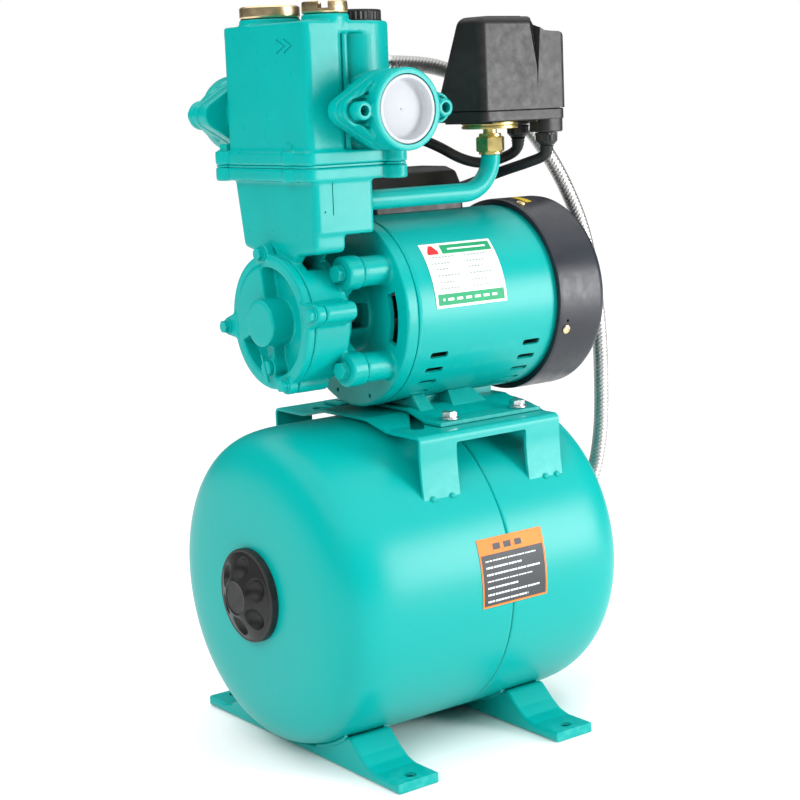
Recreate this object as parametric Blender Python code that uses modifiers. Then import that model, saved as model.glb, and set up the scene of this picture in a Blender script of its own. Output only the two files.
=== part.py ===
"""Automatic booster pump set: an electric centrifugal pump on a horizontal pressure tank.

Run with: blender --background --python part.py
Lengths below are millimetres; MM turns them into Blender's metres when a mesh is made.
X runs along the motor shaft and the tank, from the pump head to the fan cover. Z is up.
The origin lies on the floor, under the middle of the set.
"""
from math import atan2, cos, degrees, pi, radians, sin, sqrt

import bmesh
import bpy
from mathutils import Matrix, Vector

MM = 0.001
GAP = 0.3                      # clearance between neighbouring pieces

# Tank
TANK_RADIUS = 115.0
TANK_AXIS_Z = 120.8
TANK_WALL = 2.0
TANK_STRAIGHT = (-64.0, 44.5)  # ends of the cylindrical wall
TANK_HEAD_DEPTH = 77.0
TANK_HEAD_POWER = 5.7          # exponent of the flattened head's curve
TANK_SEAM_X = 3.3
TANK_FRONT_X = TANK_STRAIGHT[0] - TANK_HEAD_DEPTH
TANK_REAR_X = TANK_STRAIGHT[1] + TANK_HEAD_DEPTH

# The drawing's zero is off the middle of the set, from the valve cap to the lower hose nut
SET_MIDDLE_X = -6.35

# Feet and bracket, pressed from sheet
FOOT_CENTRES_X = (-92.2, 51.3)
FOOT_WIDTH = 36.0
FOOT_HALF_LENGTH = 122.4
FOOT_HOLE_Y = 112.6
FOOT_HOLE_RADIUS = 4.5
SHEET = 2.5
BRACKET_X = (-57.0, 72.0)
BRACKET_LEG_WIDTH = 32.5
FOOT_BOLTS = [(x, y) for x in (-9.0, 55.0) for y in (-63.0, 63.0)]

# Motor, on a horizontal axis above the tank
AXIS_Z = 311.6
MOTOR_RADIUS = 68.3
MOTOR_X = (-36.4, 96.0)
MOTOR_WALL = 2.0
FAN_COVER_X = (91.0, 137.0)
FAN_COVER_RADIUS = 70.6
SHAFT_RADIUS = 8.0
STANDOFF_OFFSET = (42.0, 33.5)  # stand-offs sit this far from the axis in Y and in Z
VENT_ANGLES = (-68.0, -54.0, -40.0, -26.0)
VENT_GROUPS_X = (-19.0, 73.0)

# Pump head
HEAD_REAR_X = -70.3
COVER_JOINT_X = -109.6         # where the cover meets the casing
COVER_RIM_X = -116.0
COVER_FLOOR_X = -105.6         # the cover is dished down to here round its hub
COVER_HUB_X = -124.3
COVER_RADIUS = 47.3
COVER_BOLTS = [(53.5, -6.9), (-55.5, 9.4), (4.4, 47.7), (-17.8, -42.4)]  # from the axis
COVER_EAR_RADIUS = 6.5
COVER_PLATEAU_ANGLES = (-24, 80)  # the raised sector, in degrees from +Y towards +Z
DRAIN_AT = (1.6, -32.0)        # from the axis
FLANGE_LUGS = [(-108, 58), (-108, -27), (-41, -53), (-41, 53), (-34, 0)]
FLANGE_LUG_RADIUS = 8.0
SEAM_LOW_Z = 418.0
SEAM_HIGH_Z = 419.8
BODY_TOP_Z = 515.0
COLUMN = (-54.0, -20.0)
VALVE_AXIS = (-48.0, -12.0)
LARGE_PLUG = (-88.0, 24.0)
SMALL_PLUG = (-82.5, -35.0)
PORT_Z = 455.0
OUTLET_X = -55.5
INLET_X = -79.0
PORT_BOLT_SPACING = 34.0       # from the port's axis to each flange bolt

# Pressure switch
STEM = (63.0, -31.0)
SWITCH_X = (32.5, 114.0)
SWITCH_Y = (-60.0, -3.0)
PIPE_RADIUS = 7.0
SWITCH_PIPE_AT = (STEM[1], 393.0)  # Y and Z of the pipe's level run

# Cords: their routes, from the end nearer the pump head or the switch
HOSE_RADIUS = 5.9
HOSE_ROUTE = [
    (-9.4, 15, 487), (20, 16, 487), (52, 17, 484), (82, 15, 474), (109, 12, 459),
    (131, 8, 440), (150, 4, 416), (165.5, 0, 388), (178, -4, 355), (186, -7, 315),
    (189.8, -9, 273), (191, -9, 230), (190, -8, 192), (184, -6, 160), (170, -3, 134),
    (156, -0.5, 122.3), (149.5, 0, 120.9), (144.4, 0, 120.8),
]
CABLE_RADIUS = 3.9
LONG_GLAND = (96.0, -24.0)
LONG_CABLE_ROUTE = [
    (*LONG_GLAND, 428.6), (96.3, -21.5, 421), (89, -11, 414.8), (76, -3, 412.4),
    (62, 3, 416.5), (47, 8, 425), (33, 13, 431.5), (16, 18, 435), (-1, 21, 432.5),
    (-12, 22, 426.5), (-15.4, 22, 420.6),
]
SHORT_GLAND = (102.0, -49.0)
SHORT_CABLE_ROUTE = [
    (*SHORT_GLAND, 422.4), (101.4, -47.5, 417), (95, -34, 411.5), (91, -20, 407.5),
    (87, -7, 403.5), (82, 4, 399.5), (76, 12, 396), (69.4, 17, 393.4),
]

LOOKS = {                      # colour, roughness, metallic
    "teal_paint": ((0.0, 0.45, 0.40), 0.25, 0.0),
    "teal_casting": ((0.0, 0.42, 0.37), 0.35, 0.0),
    "black_plastic": ((0.02, 0.02, 0.022), 0.4, 0.0),
    "black_gloss": ((0.015, 0.015, 0.017), 0.15, 0.0),
    "port_plastic": ((0.75, 0.77, 0.85), 0.4, 0.0),
    "brass": ((0.80, 0.60, 0.30), 0.25, 1.0),
    "zinc": ((0.62, 0.63, 0.62), 0.35, 1.0),
    "yellow_zinc": ((0.62, 0.50, 0.20), 0.35, 1.0),
    "steel": ((0.55, 0.56, 0.58), 0.35, 1.0),
    "lamination": ((0.30, 0.30, 0.32), 0.5, 1.0),
    "copper": ((0.60, 0.25, 0.12), 0.4, 1.0),
    "aluminium": ((0.70, 0.71, 0.72), 0.4, 1.0),
    "rubber": ((0.02, 0.02, 0.02), 0.7, 0.0),
    "ceramic": ((0.85, 0.84, 0.80), 0.3, 0.0),
    "braid": ((0.60, 0.61, 0.63), 0.35, 1.0),
}

for leftover in list(bpy.data.objects):
    bpy.data.objects.remove(leftover)

PARTS = bpy.data.collections.new("booster_pump")
HELPERS = bpy.data.collections.new("cutters")
bpy.context.scene.collection.children.link(PARTS)
bpy.context.scene.collection.children.link(HELPERS)


def make_material(name):
    colour, roughness, metallic = LOOKS[name]
    material = bpy.data.materials.new(name)
    material.use_nodes = True
    shader = material.node_tree.nodes["Principled BSDF"]
    shader.inputs["Base Color"].default_value = (*colour, 1.0)
    shader.inputs["Roughness"].default_value = roughness
    shader.inputs["Metallic"].default_value = metallic
    material.diffuse_color = (*colour, 1.0)
    return material


MATERIALS = {name: make_material(name) for name in LOOKS}


def make_axis(name, location):
    """An empty that a moving body's pieces hang from, on its joint's axis."""
    empty = bpy.data.objects.new(name, None)
    empty.location = Vector(location) * MM
    PARTS.objects.link(empty)
    bpy.context.view_layer.update()
    return empty


ROTOR_AXIS = make_axis("rotor_axis", (0, 0, AXIS_Z))
POPPET_AXIS = make_axis("poppet_axis", (*VALVE_AXIS, 436))
PLUNGER_AXIS = make_axis("plunger_axis", (*STEM, 444))


# ---------------------------------------------------------------- shapes

def helper(bm):
    """Turn a bmesh in millimetres into a hidden helper object."""
    bmesh.ops.scale(bm, vec=(MM, MM, MM), verts=bm.verts)
    mesh = bpy.data.meshes.new("helper")
    bm.to_mesh(mesh)
    bm.free()
    obj = bpy.data.objects.new("helper", mesh)
    HELPERS.objects.link(obj)
    obj.hide_render = True
    obj.display_type = "WIRE"
    return obj


def box(low, high):
    low, high = Vector(low), Vector(high)
    bm = bmesh.new()
    bmesh.ops.create_cube(bm, size=1.0)
    bmesh.ops.scale(bm, vec=high - low, verts=bm.verts)
    bmesh.ops.translate(bm, vec=(low + high) / 2, verts=bm.verts)
    return helper(bm)


def sides_for(radius):
    """Enough flat sides for a round piece of this radius."""
    return max(8, 4 * round(0.85 * sqrt(radius)))


def cylinder(radius, start, end, sides=None, end_radius=None):
    """A cylinder or cone between two points."""
    start, end = Vector(start), Vector(end)
    along = end - start
    turn = Vector((0, 0, 1)).rotation_difference(along).to_matrix().to_4x4()
    bm = bmesh.new()
    bmesh.ops.create_cone(
        bm, cap_ends=True, segments=sides or sides_for(radius), radius1=radius,
        radius2=radius if end_radius is None else end_radius, depth=along.length,
        matrix=Matrix.Translation((start + end) / 2) @ turn)
    return helper(bm)


def hexagon(across_flats, start, end):
    return cylinder(across_flats / sqrt(3), start, end, sides=6)


def ball(radius, centre, rings=8):
    bm = bmesh.new()
    bmesh.ops.create_uvsphere(bm, u_segments=2 * rings, v_segments=rings, radius=radius,
                              matrix=Matrix.Translation(centre))
    return helper(bm)


def settle(obj, matrix=None):
    """Replace an object by the welded, outward-facing mesh of its evaluated shape."""
    graph = bpy.context.evaluated_depsgraph_get()
    mesh = bpy.data.meshes.new_from_object(obj.evaluated_get(graph))
    bm = bmesh.new()
    bm.from_mesh(mesh)
    bm.transform(matrix if matrix else obj.matrix_world)
    bpy.data.objects.remove(obj)
    bmesh.ops.remove_doubles(bm, verts=bm.verts, dist=1e-6)
    bmesh.ops.recalc_face_normals(bm, faces=bm.faces)
    bmesh.ops.scale(bm, vec=(1 / MM, 1 / MM, 1 / MM), verts=bm.verts)
    return helper(bm)


def turned(profile, centre, direction="X", sides=None):
    """A turned piece: profile holds (position along the axis, radius) points in order.

    The profile closes on itself, unless it starts and ends on the axis.
    """
    edges = [(i, i + 1) for i in range(len(profile) - 1)]
    if profile[0][1] or profile[-1][1]:
        edges.append((len(profile) - 1, 0))
    mesh = bpy.data.meshes.new("profile")
    mesh.from_pydata([(r * MM, 0, h * MM) for h, r in profile], edges, [])
    sides = sides or sides_for(max(r for _, r in profile))
    obj = bpy.data.objects.new("profile", mesh)
    HELPERS.objects.link(obj)
    screw = obj.modifiers.new("Screw", "SCREW")
    screw.axis = "Z"
    screw.steps = screw.render_steps = sides
    screw.use_merge_vertices = True
    screw.merge_threshold = 1e-5
    bpy.context.view_layer.update()
    turns = {"X": Matrix.Rotation(pi / 2, 4, "Y"), "Y": Matrix.Rotation(-pi / 2, 4, "X"),
             "Z": Matrix.Identity(4)}
    return settle(obj, Matrix.Translation(Vector(centre) * MM) @ turns[direction])


def ring(inner, outer, start, end, centre, direction="X", sides=None):
    profile = [(start, inner), (start, outer), (end, outer), (end, inner)]
    return turned(profile, centre, direction, sides)


def extruded(outline, plane, low, high):
    """A flat outline in the XY, XZ or YZ plane, given thickness along the third axis."""
    curve = bpy.data.curves.new("outline", "CURVE")
    curve.dimensions = "2D"
    curve.fill_mode = "BOTH"
    curve.extrude = (high - low) / 2 * MM
    spline = curve.splines.new("POLY")
    spline.points.add(len(outline) - 1)
    for point, (u, v) in zip(spline.points, outline):
        point.co = (u * MM, v * MM, 0, 1)
    spline.use_cyclic_u = True
    obj = bpy.data.objects.new("outline", curve)
    HELPERS.objects.link(obj)
    middle = (low + high) / 2 * MM
    turns = {"XY": ((1, 0, 0, 0), (0, 1, 0, 0), (0, 0, 1, middle), (0, 0, 0, 1)),
             "XZ": ((1, 0, 0, 0), (0, 0, -1, middle), (0, 1, 0, 0), (0, 0, 0, 1)),
             "YZ": ((0, 0, 1, middle), (1, 0, 0, 0), (0, 1, 0, 0), (0, 0, 0, 1))}
    bpy.context.view_layer.update()
    return settle(obj, Matrix(turns[plane]))


def arc(centre, radius, start, end, steps):
    """Points on an arc; the angles are degrees."""
    angles = [radians(start + (end - start) * k / steps) for k in range(steps + 1)]
    return [(centre[0] + radius * cos(a), centre[1] + radius * sin(a)) for a in angles]


def rounded_rectangle(u0, u1, v0, v1, radius, steps=2):
    corners = [(u1 - radius, v1 - radius, 0), (u0 + radius, v1 - radius, 90),
               (u0 + radius, v0 + radius, 180), (u1 - radius, v0 + radius, 270)]
    points = []
    for u, v, start in corners:
        points += arc((u, v), radius, start, start + 90, steps)
    return points


def hull_outline(circles, steps=16):
    """The outline of a belt drawn tight round circles, each given as (u, v, radius)."""
    cloud = sorted({(u + r * cos(2 * pi * k / steps), v + r * sin(2 * pi * k / steps))
                    for u, v, r in circles for k in range(steps)})

    def half(points):
        chain = []
        for p in points:
            while len(chain) > 1:
                (ax, ay), (bx, by) = chain[-2:]
                if (bx - ax) * (p[1] - ay) - (by - ay) * (p[0] - ax) > 1e-9:
                    break
                chain.pop()
            chain.append(p)
        return chain[:-1]

    return half(cloud) + half(cloud[::-1])


def bent_strip(path, thickness):
    """The outline of sheet metal whose upper side follows a path of points."""
    points = [Vector(p) for p in path]
    under = []
    for i, p in enumerate(points):
        before = (p - points[max(i - 1, 0)]).normalized() if i else None
        after = (points[i + 1] - p).normalized() if i < len(points) - 1 else None
        normals = [Vector((d.y, -d.x)) for d in (before, after) if d is not None]
        bisector = sum(normals, Vector((0, 0))).normalized()
        under.append(p + bisector * thickness / bisector.dot(normals[0]))
    return [tuple(p) for p in points] + [tuple(p) for p in reversed(under)]


def smooth_route(points, spacing):
    """Evenly spaced points on a smooth curve through the route's points."""
    knots = [Vector(p) for p in points]
    knots = [2 * knots[0] - knots[1]] + knots + [2 * knots[-1] - knots[-2]]
    fine = []
    for a, b, c, d in zip(knots, knots[1:], knots[2:], knots[3:]):
        for k in range(16):
            t = k / 16
            fine.append(0.5 * (2 * b + (c - a) * t + (2 * a - 5 * b + 4 * c - d) * t ** 2
                               + (3 * b - a - 3 * c + d) * t ** 3))
    fine.append(knots[-2])
    lengths = [0.0]
    for a, b in zip(fine, fine[1:]):
        lengths.append(lengths[-1] + (b - a).length)
    count = round(lengths[-1] / spacing)
    route, i = [], 0
    for k in range(count + 1):
        target = lengths[-1] * k / count
        while i < len(fine) - 2 and lengths[i + 1] < target:
            i += 1
        share = (target - lengths[i]) / (lengths[i + 1] - lengths[i])
        route.append(fine[i].lerp(fine[i + 1], share))
    return route


def tube(route, radius, resolution=2):
    """A round rod along a route, with closed ends."""
    curve = bpy.data.curves.new("route", "CURVE")
    curve.dimensions = "3D"
    curve.bevel_depth = radius * MM
    curve.bevel_resolution = resolution
    curve.use_fill_caps = True
    spline = curve.splines.new("POLY")
    spline.points.add(len(route) - 1)
    for point, place in zip(spline.points, route):
        point.co = (*(Vector(place) * MM), 1)
    obj = bpy.data.objects.new("route", curve)
    HELPERS.objects.link(obj)
    bpy.context.view_layer.update()
    return settle(obj)


def combine(base, others, operation):
    for other in others:
        modifier = base.modifiers.new(operation.title(), "BOOLEAN")
        modifier.operation = operation
        modifier.object = other
    return base


def join(base, *others):
    return combine(base, others, "UNION")


def cut(base, *others):
    return combine(base, others, "DIFFERENCE")


def part(obj, name, look, axis=None, crease=35):
    """Name a finished piece, give it its look and hang it on its joint's axis."""
    obj.name = obj.data.name = name
    HELPERS.objects.unlink(obj)
    PARTS.objects.link(obj)
    obj.hide_render = False
    obj.display_type = "TEXTURED"
    obj.data.materials.clear()
    obj.data.materials.append(MATERIALS[look])
    obj.data.shade_smooth()
    obj.data.set_sharp_from_angle(angle=radians(crease))
    if axis:
        obj.parent = axis
        obj.matrix_parent_inverse = axis.matrix_world.inverted()
    return obj


# ---------------------------------------------------------------- tank

def head_curve(radius, depth, hole, steps=7):
    """(depth into the head, radius) points from the straight wall to the hole in the head."""
    power = 2 / TANK_HEAD_POWER
    points = [(depth * cos(a) ** power, radius * sin(a) ** power)
              for a in (pi / 2 * (1 - k / steps) for k in range(1, steps))]
    return points + [(depth * (1 - (hole / radius) ** TANK_HEAD_POWER) ** (power / 2), hole)]


def shell_profile(seam, wall_end, side, hole):
    """A tank half: side is -1 towards the pump head and +1 towards the fan."""
    outside = head_curve(TANK_RADIUS, TANK_HEAD_DEPTH, hole)
    inside = head_curve(TANK_RADIUS - TANK_WALL, TANK_HEAD_DEPTH - TANK_WALL, hole, 5)
    skin = [(seam, TANK_RADIUS), (wall_end, TANK_RADIUS)]
    skin += [(wall_end + side * x, r) for x, r in outside]
    skin += [(wall_end + side * x, r) for x, r in reversed(inside)]
    return skin + [(wall_end, TANK_RADIUS - TANK_WALL), (seam, TANK_RADIUS - TANK_WALL)]


def make_tank():
    axis = (0, 0, TANK_AXIS_Z)
    front = shell_profile(TANK_SEAM_X - GAP / 2, TANK_STRAIGHT[0], -1, 6.0)
    part(turned(front, axis), "tank_front_shell", "teal_paint")
    rear = shell_profile(TANK_SEAM_X + GAP / 2, TANK_STRAIGHT[1], 1, 24.0)
    part(turned(rear, axis), "tank_rear_shell", "teal_paint")

    bag = [(-100, 0), (-94, 50), (-60, 85), (0, 93), (60, 88), (98, 55), (109, 22), (118, 22),
           (118, 19.5), (107, 19.5), (95.5, 54), (58, 85.5), (0, 90.5), (-59, 82.5),
           (-91.5, 48.5), (-97.5, 0)]
    part(turned(bag, axis, sides=20), "tank_bladder", "rubber")

    inside_x = TANK_FRONT_X + TANK_WALL
    valve = [(-143, 0), (-143, 4), (inside_x + 0.4, 4), (inside_x + 0.4, 10),
             (inside_x + 3, 10), (inside_x + 3, 5), (-128, 5), (-128, 0)]
    part(turned(valve, axis), "tank_air_valve", "brass")

    back = TANK_FRONT_X - GAP
    cap = turned([(back - 14.5, 0), (back - 14.5, 12.2), (back - 13.5, 13.2),
                  (back - 5.4, 31), (back - 4.6, 33.5), (back, 33.5), (back, 8),
                  (back - 4, 8), (back - 4, 0)], axis)
    dimples = [ball(9.2, (back - 13.6, 23 * cos(a), TANK_AXIS_Z + 23 * sin(a)))
               for a in (radians(36 + 60 * k) for k in range(6))]
    part(cut(cap, *dimples), "tank_valve_cap", "black_plastic")

    face = TANK_REAR_X + GAP
    flange = [(110, 8), (110, 18), (face, 18), (face, 33), (face + 4, 33), (face + 4, 13),
              (132.5, 13), (132.5, 8)]
    part(turned(flange, axis), "tank_flange", "zinc")


def foot_outline(drop, half_length, floor):
    """A foot seen from its end: it cradles the tank and falls to a pad at each side."""
    cradle = TANK_RADIUS + GAP
    side = [(half_length, floor), (half_length, 7 - drop), (96, 7 - drop), (88, 9 - drop),
            (80, 15 - drop), (73, 22 - drop), (68, 25.6 - drop)]
    half = side + [(y, TANK_AXIS_Z - sqrt(cradle ** 2 - y ** 2) - drop)
                   for y in (60.0, 50.0, 40.0, 30.0, 20.0, 10.0, 0.0)]
    return half + [(-y, z) for y, z in reversed(half[:-1])]


def make_feet():
    for name, x in zip(("foot_front", "foot_rear"), FOOT_CENTRES_X):
        half = FOOT_WIDTH / 2
        shell = extruded(foot_outline(0, FOOT_HALF_LENGTH, 0), "YZ", x - half, x + half)
        hollow = extruded(foot_outline(SHEET, FOOT_HALF_LENGTH - SHEET, -5), "YZ",
                          x - half + SHEET, x + half - SHEET)
        holes = [cylinder(FOOT_HOLE_RADIUS, (x, y, 2), (x, y, 12))
                 for y in (-FOOT_HOLE_Y, FOOT_HOLE_Y)]
        part(cut(shell, hollow, *holes), name, "teal_paint")


def make_bracket():
    """The arched plate on the tank that carries the motor, with a leg at each corner."""
    cradle = TANK_RADIUS + GAP
    half = [(92.8, 188), (91.4, 199), (90, 210), (90, 233), (52, 233), (28, 239)]
    path = [(-y, z) for y, z in half] + half[::-1]
    plate = extruded(bent_strip(path, SHEET), "YZ", *BRACKET_X)
    window_x = (BRACKET_X[0] + BRACKET_LEG_WIDTH, BRACKET_X[1] - BRACKET_LEG_WIDTH)
    window = box((window_x[0], -120, 170), (window_x[1], 120, 225.5))
    tank = cylinder(cradle, (-80, 0, TANK_AXIS_Z), (100, 0, TANK_AXIS_Z), 64)
    holes = [cylinder(3.4, (x, y, 225), (x, y, 240)) for x, y in FOOT_BOLTS]
    slots = [extruded(hull_outline([(-36, 61 * side, 5), (-15, 32 * side, 5)]), "XY", 225, 245)
             for side in (-1, 1)]
    part(cut(plate, window, tank, *holes, *slots), "pump_bracket", "teal_paint")


# ---------------------------------------------------------------- motor

def make_motor_foot():
    half = [(72, 236), (56, 236), (33, 242.2), (0, 242.2)]
    path = [(-y, z) for y, z in half] + half[-2::-1]
    strip = extruded(bent_strip(path, SHEET), "YZ", -24, 70)
    saddle = box((-22, -26, 240.5), (68, 26, 248))
    motor = cylinder(MOTOR_RADIUS + GAP, (-50, 0, AXIS_Z), (100, 0, AXIS_Z), 64)
    holes = [cylinder(3.4, (x, y, 230), (x, y, 240)) for x, y in FOOT_BOLTS]
    part(cut(join(strip, saddle), motor, *holes), "motor_foot", "teal_paint")
    for k, (x, y) in enumerate(FOOT_BOLTS):
        bolt = join(cylinder(3.0, (x, y, 223), (x, y, 239)),
                    cylinder(7.0, (x, y, 236.4), (x, y, 237.8)),
                    hexagon(10, (x, y, 237.6), (x, y, 242)),
                    hexagon(10, (x, y, 225), (x, y, 230)))
        part(bolt, f"foot_bolt_{k + 1}", "zinc")


def make_motor_shell():
    axis = (0, 0, AXIS_Z)
    shell = ring(MOTOR_RADIUS - MOTOR_WALL, MOTOR_RADIUS, *MOTOR_X, axis, sides=48)
    vents = []
    for x in VENT_GROUPS_X:
        for angle in VENT_ANGLES:
            for side in (-1, 1):
                slot = box((-9, -4, -1.6), (9, 12, 1.6))
                reach = Matrix.Translation((x * MM, 0, AXIS_Z * MM))
                swing = Matrix.Rotation(radians(angle), 4, "X")
                out = Matrix.Translation((0, MOTOR_RADIUS * MM, 0))
                flip = Matrix.Rotation(pi, 4, "Z") if side < 0 else Matrix.Identity(4)
                slot.data.transform(reach @ flip @ swing @ out)
                vents.append(slot)
    part(cut(shell, *vents), "motor_shell", "teal_paint")


def make_stator():
    axis = (0, 0, AXIS_Z)
    core = ring(36.8, MOTOR_RADIUS - MOTOR_WALL - GAP, 0, 60, axis, sides=32)
    slots, bars = [], []
    for k in range(8):
        turn = Matrix.Translation((0, 0, AXIS_Z * MM)) @ Matrix.Rotation(pi / 4 * k, 4, "X")
        slot = box((-5, -4, 30), (65, 4, 52))
        bar = box((-8, -3.2, 39), (68, 3.2, 51))
        slot.data.transform(turn)
        bar.data.transform(turn)
        slots.append(slot)
        bars.append(bar)
    part(cut(core, *slots), "stator_core", "lamination")
    front = ring(38, 58, -14, -1, axis)
    rear = ring(38, 58, 61, 74, axis)
    part(join(front, rear, *bars), "stator_winding", "copper")


def make_rotor():
    axis = (0, 0, AXIS_Z)
    hole = SHAFT_RADIUS + GAP
    rotor = [(-6, hole), (-6, 31), (-1, 31), (-1, 36), (61, 36), (61, 31), (66, 31), (66, hole)]
    part(turned(rotor, axis), "rotor_core", "aluminium", ROTOR_AXIS)
    shaft = [(-109.5, 0), (-109.5, 6), (-46, 6), (-46, SHAFT_RADIUS), (95, SHAFT_RADIUS),
             (95, 6), (119, 6), (119, 0)]
    part(turned(shaft, axis), "motor_shaft", "steel", ROTOR_AXIS)
    for name, x in (("bearing_front", -45.0), ("bearing_rear", 81.0)):
        part(ring(hole, 17.5, x, x + 11, axis), name, "steel")

    fan = turned([(99, 6.3), (99, 13), (100, 13), (100, 30), (102, 30), (102, 13), (116, 13),
                  (116, 6.3)], axis)
    blades = []
    for k in range(8):
        blade = box((100.6, 9.5, -1), (115.4, 57, 1))
        blade.data.transform(Matrix.Translation((0, 0, AXIS_Z * MM))
                             @ Matrix.Rotation(pi / 4 * (k + 0.2), 4, "X"))
        blades.append(blade)
    part(join(fan, *blades), "cooling_fan", "black_plastic", ROTOR_AXIS)


def make_rear_end():
    axis = (0, 0, AXIS_Z)
    outer = MOTOR_RADIUS - MOTOR_WALL - GAP
    shield = [(79, 17.8), (79, 23), (86, 25), (86, outer), (91, outer), (91, 25), (94, 22),
              (94, 8.6), (92.3, 8.6), (92.3, 17.8)]
    part(turned(shield, axis, sides=24), "rear_end_shield", "aluminium")

    start, end = FAN_COVER_X
    inner = MOTOR_RADIUS + GAP
    cover = [(start, inner), (start, FAN_COVER_RADIUS), (end - 8, FAN_COVER_RADIUS),
             (end - 2.5, FAN_COVER_RADIUS - 2.5), (end, FAN_COVER_RADIUS - 8), (end, 0),
             (end - 2, 0), (end - 2, inner - 7), (end - 4, inner - 2), (end - 8, inner)]
    cover = turned(cover, axis, sides=36)
    slots = []
    for k in range(12):
        slot = box((end - 6, -4, 22), (end + 4, 4, 56))
        slot.data.transform(Matrix.Translation((0, 0, AXIS_Z * MM))
                            @ Matrix.Rotation(pi / 6 * (k + 0.3), 4, "X"))
        slots.append(slot)
    part(cut(cover, *slots), "fan_cover", "black_gloss")


def standoff_places():
    across, up = STANDOFF_OFFSET
    return [(y, AXIS_Z + z) for y in (-across, across) for z in (-up, up)]


def make_front_bracket():
    """The casting between pump and motor: a disc, a windowed tube and four stand-offs."""
    axis = (0, 0, AXIS_Z)
    spigot = MOTOR_RADIUS - MOTOR_WALL - GAP
    start = MOTOR_X[0] - GAP
    body = [(-70, 18), (-70, 24), (-47, 24), (-47, 68.3), (start, 68.3), (start, spigot),
            (start + 4, spigot), (start + 4, 62), (start, 60), (start, 22), (-33.5, 22),
            (-33.5, 17.8), (-45.3, 17.8), (-45.3, 9), (-48, 9), (-48, 18)]
    casting = turned(body, axis)
    posts = [cylinder(10.5, (-70, y, z), (-46, y, z)) for y, z in standoff_places()]
    holes = [cylinder(3.4, (-75, y, z), (-52, y, z)) for y, z in standoff_places()]
    window = box((-67, -60, AXIS_Z - 9), (-49, 60, AXIS_Z + 9))
    part(cut(join(casting, *posts), window, *holes), "front_bracket", "teal_casting")


def make_terminal_box():
    outline = [(50, 340), (50, 405), (44, 411), (14, 411), (4, 408), (-3, 396), (-5, 340)]
    hollow = [(47.5, 330), (47.5, 404), (43, 408.5), (15, 408.5), (5.5, 406), (-0.5, 395),
              (-2.5, 330)]
    cover = extruded(outline, "YZ", -25, 60)
    inside = extruded(hollow, "YZ", -22.5, 57.5)
    motor = cylinder(MOTOR_RADIUS + GAP, (-50, 0, AXIS_Z), (100, 0, AXIS_Z), 64)
    entries = [cylinder(7, (-16, 22, 409), (-15.6, 22, 417.8), 12, 5.5),
               cylinder(7, (59, 22, 393), (67.6, 18, 393), 12, 5.5)]
    part(join(cut(cover, inside, motor), *entries), "terminal_box", "black_plastic")
    part(cylinder(13, (-16, 24, 393.5), (50, 24, 393.5)), "run_capacitor", "port_plastic")


# ---------------------------------------------------------------- pump head

def cover_ear(bolt, start, end):
    """A lug for a cover bolt, whose straight flanks run into the round head."""
    inner = (0.58 * bolt[0], 0.58 * bolt[1], 11.6)
    outline = hull_outline([inner, (*bolt, COVER_EAR_RADIUS)], 32)
    return extruded([(y, AXIS_Z + z) for y, z in outline], "YZ", start, end)


def make_casing():
    rear = HEAD_REAR_X
    axis_at = (0, AXIS_Z)
    front = COVER_JOINT_X + GAP
    volute = cylinder(47, (front, *axis_at), (-80, *axis_at))
    pieces = [cylinder(36, (-81, *axis_at), (rear, *axis_at))]
    for y, z in standoff_places():
        pieces.append(cylinder(12, (-83, y, z), (rear, y, z)))
    lean = degrees(atan2(STANDOFF_OFFSET[1], STANDOFF_OFFSET[0]))
    for angle in (lean, 180 - lean):
        web = box((-82.2, -52, -8), (rear - 0.2, 52, 8))
        web.data.transform(Matrix.Translation((0, 0, AXIS_Z * MM))
                           @ Matrix.Rotation(radians(angle), 4, "X"))
        pieces.append(web)
    pieces += [cover_ear(bolt, front + 0.2, -84) for bolt in COVER_BOLTS]
    neck = [(-50, 410), (-48.7, 360.5), (-28, 358), (-15, 345), (15, 345), (27, 359), (41, 362),
            (50, 410)]
    pieces.append(extruded(neck, "YZ", -108, -82))
    shoulder = rounded_rectangle(-107.6, -58, -50.4, 41, 4)
    pieces.append(extruded(shoulder, "XY", 372, 410.2))
    flange = rounded_rectangle(-113, -37, -52, 52, 6)
    pieces.append(extruded(flange, "XY", 409, SEAM_LOW_Z))
    for x, y in FLANGE_LUGS:
        pieces.append(cylinder(FLANGE_LUG_RADIUS, (x, y, 408.8), (x, y, SEAM_LOW_Z - 0.2)))
    pieces.append(cylinder(9.5, (-62, *SWITCH_PIPE_AT), (-54, *SWITCH_PIPE_AT)))

    chamber = cylinder(41.3 / cos(pi / 24), (-120, *axis_at), (-91, *axis_at), 24)
    seal_bore = cylinder(16, (-94, *axis_at), (-77, *axis_at))
    shaft_hole = cylinder(9, (-80, *axis_at), (-60, *axis_at))
    throat = box((-102, -36, 340), (-87, 34, 400))
    hall = box((-102, -43, 382), (-64, 35.5, 430))
    part(cut(join(volute, *pieces), chamber, seal_bore, shaft_hole, throat, hall),
         "pump_casing", "teal_casting")


def make_head_internals():
    axis = (0, 0, AXIS_Z)
    impeller = turned([(-108, 6.3), (-108, 9.5), (-101.6, 9.5), (-101.6, 36), (-93, 36),
                       (-93, 6.3)], axis)
    notches = []
    for k in range(16):
        notch = box((-104, -2, 28), (-99, 2, 40))
        notch.data.transform(Matrix.Translation((0, 0, AXIS_Z * MM))
                             @ Matrix.Rotation(pi / 8 * k, 4, "X"))
        notches.append(notch)
    part(cut(impeller, *notches), "impeller", "brass", ROTOR_AXIS)
    part(ring(6.3, 11.5, -92.7, -86.3, axis), "seal_rotating_ring", "steel", ROTOR_AXIS)
    part(ring(7, 15.2, -86, -79, axis), "seal_seat", "ceramic")


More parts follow.
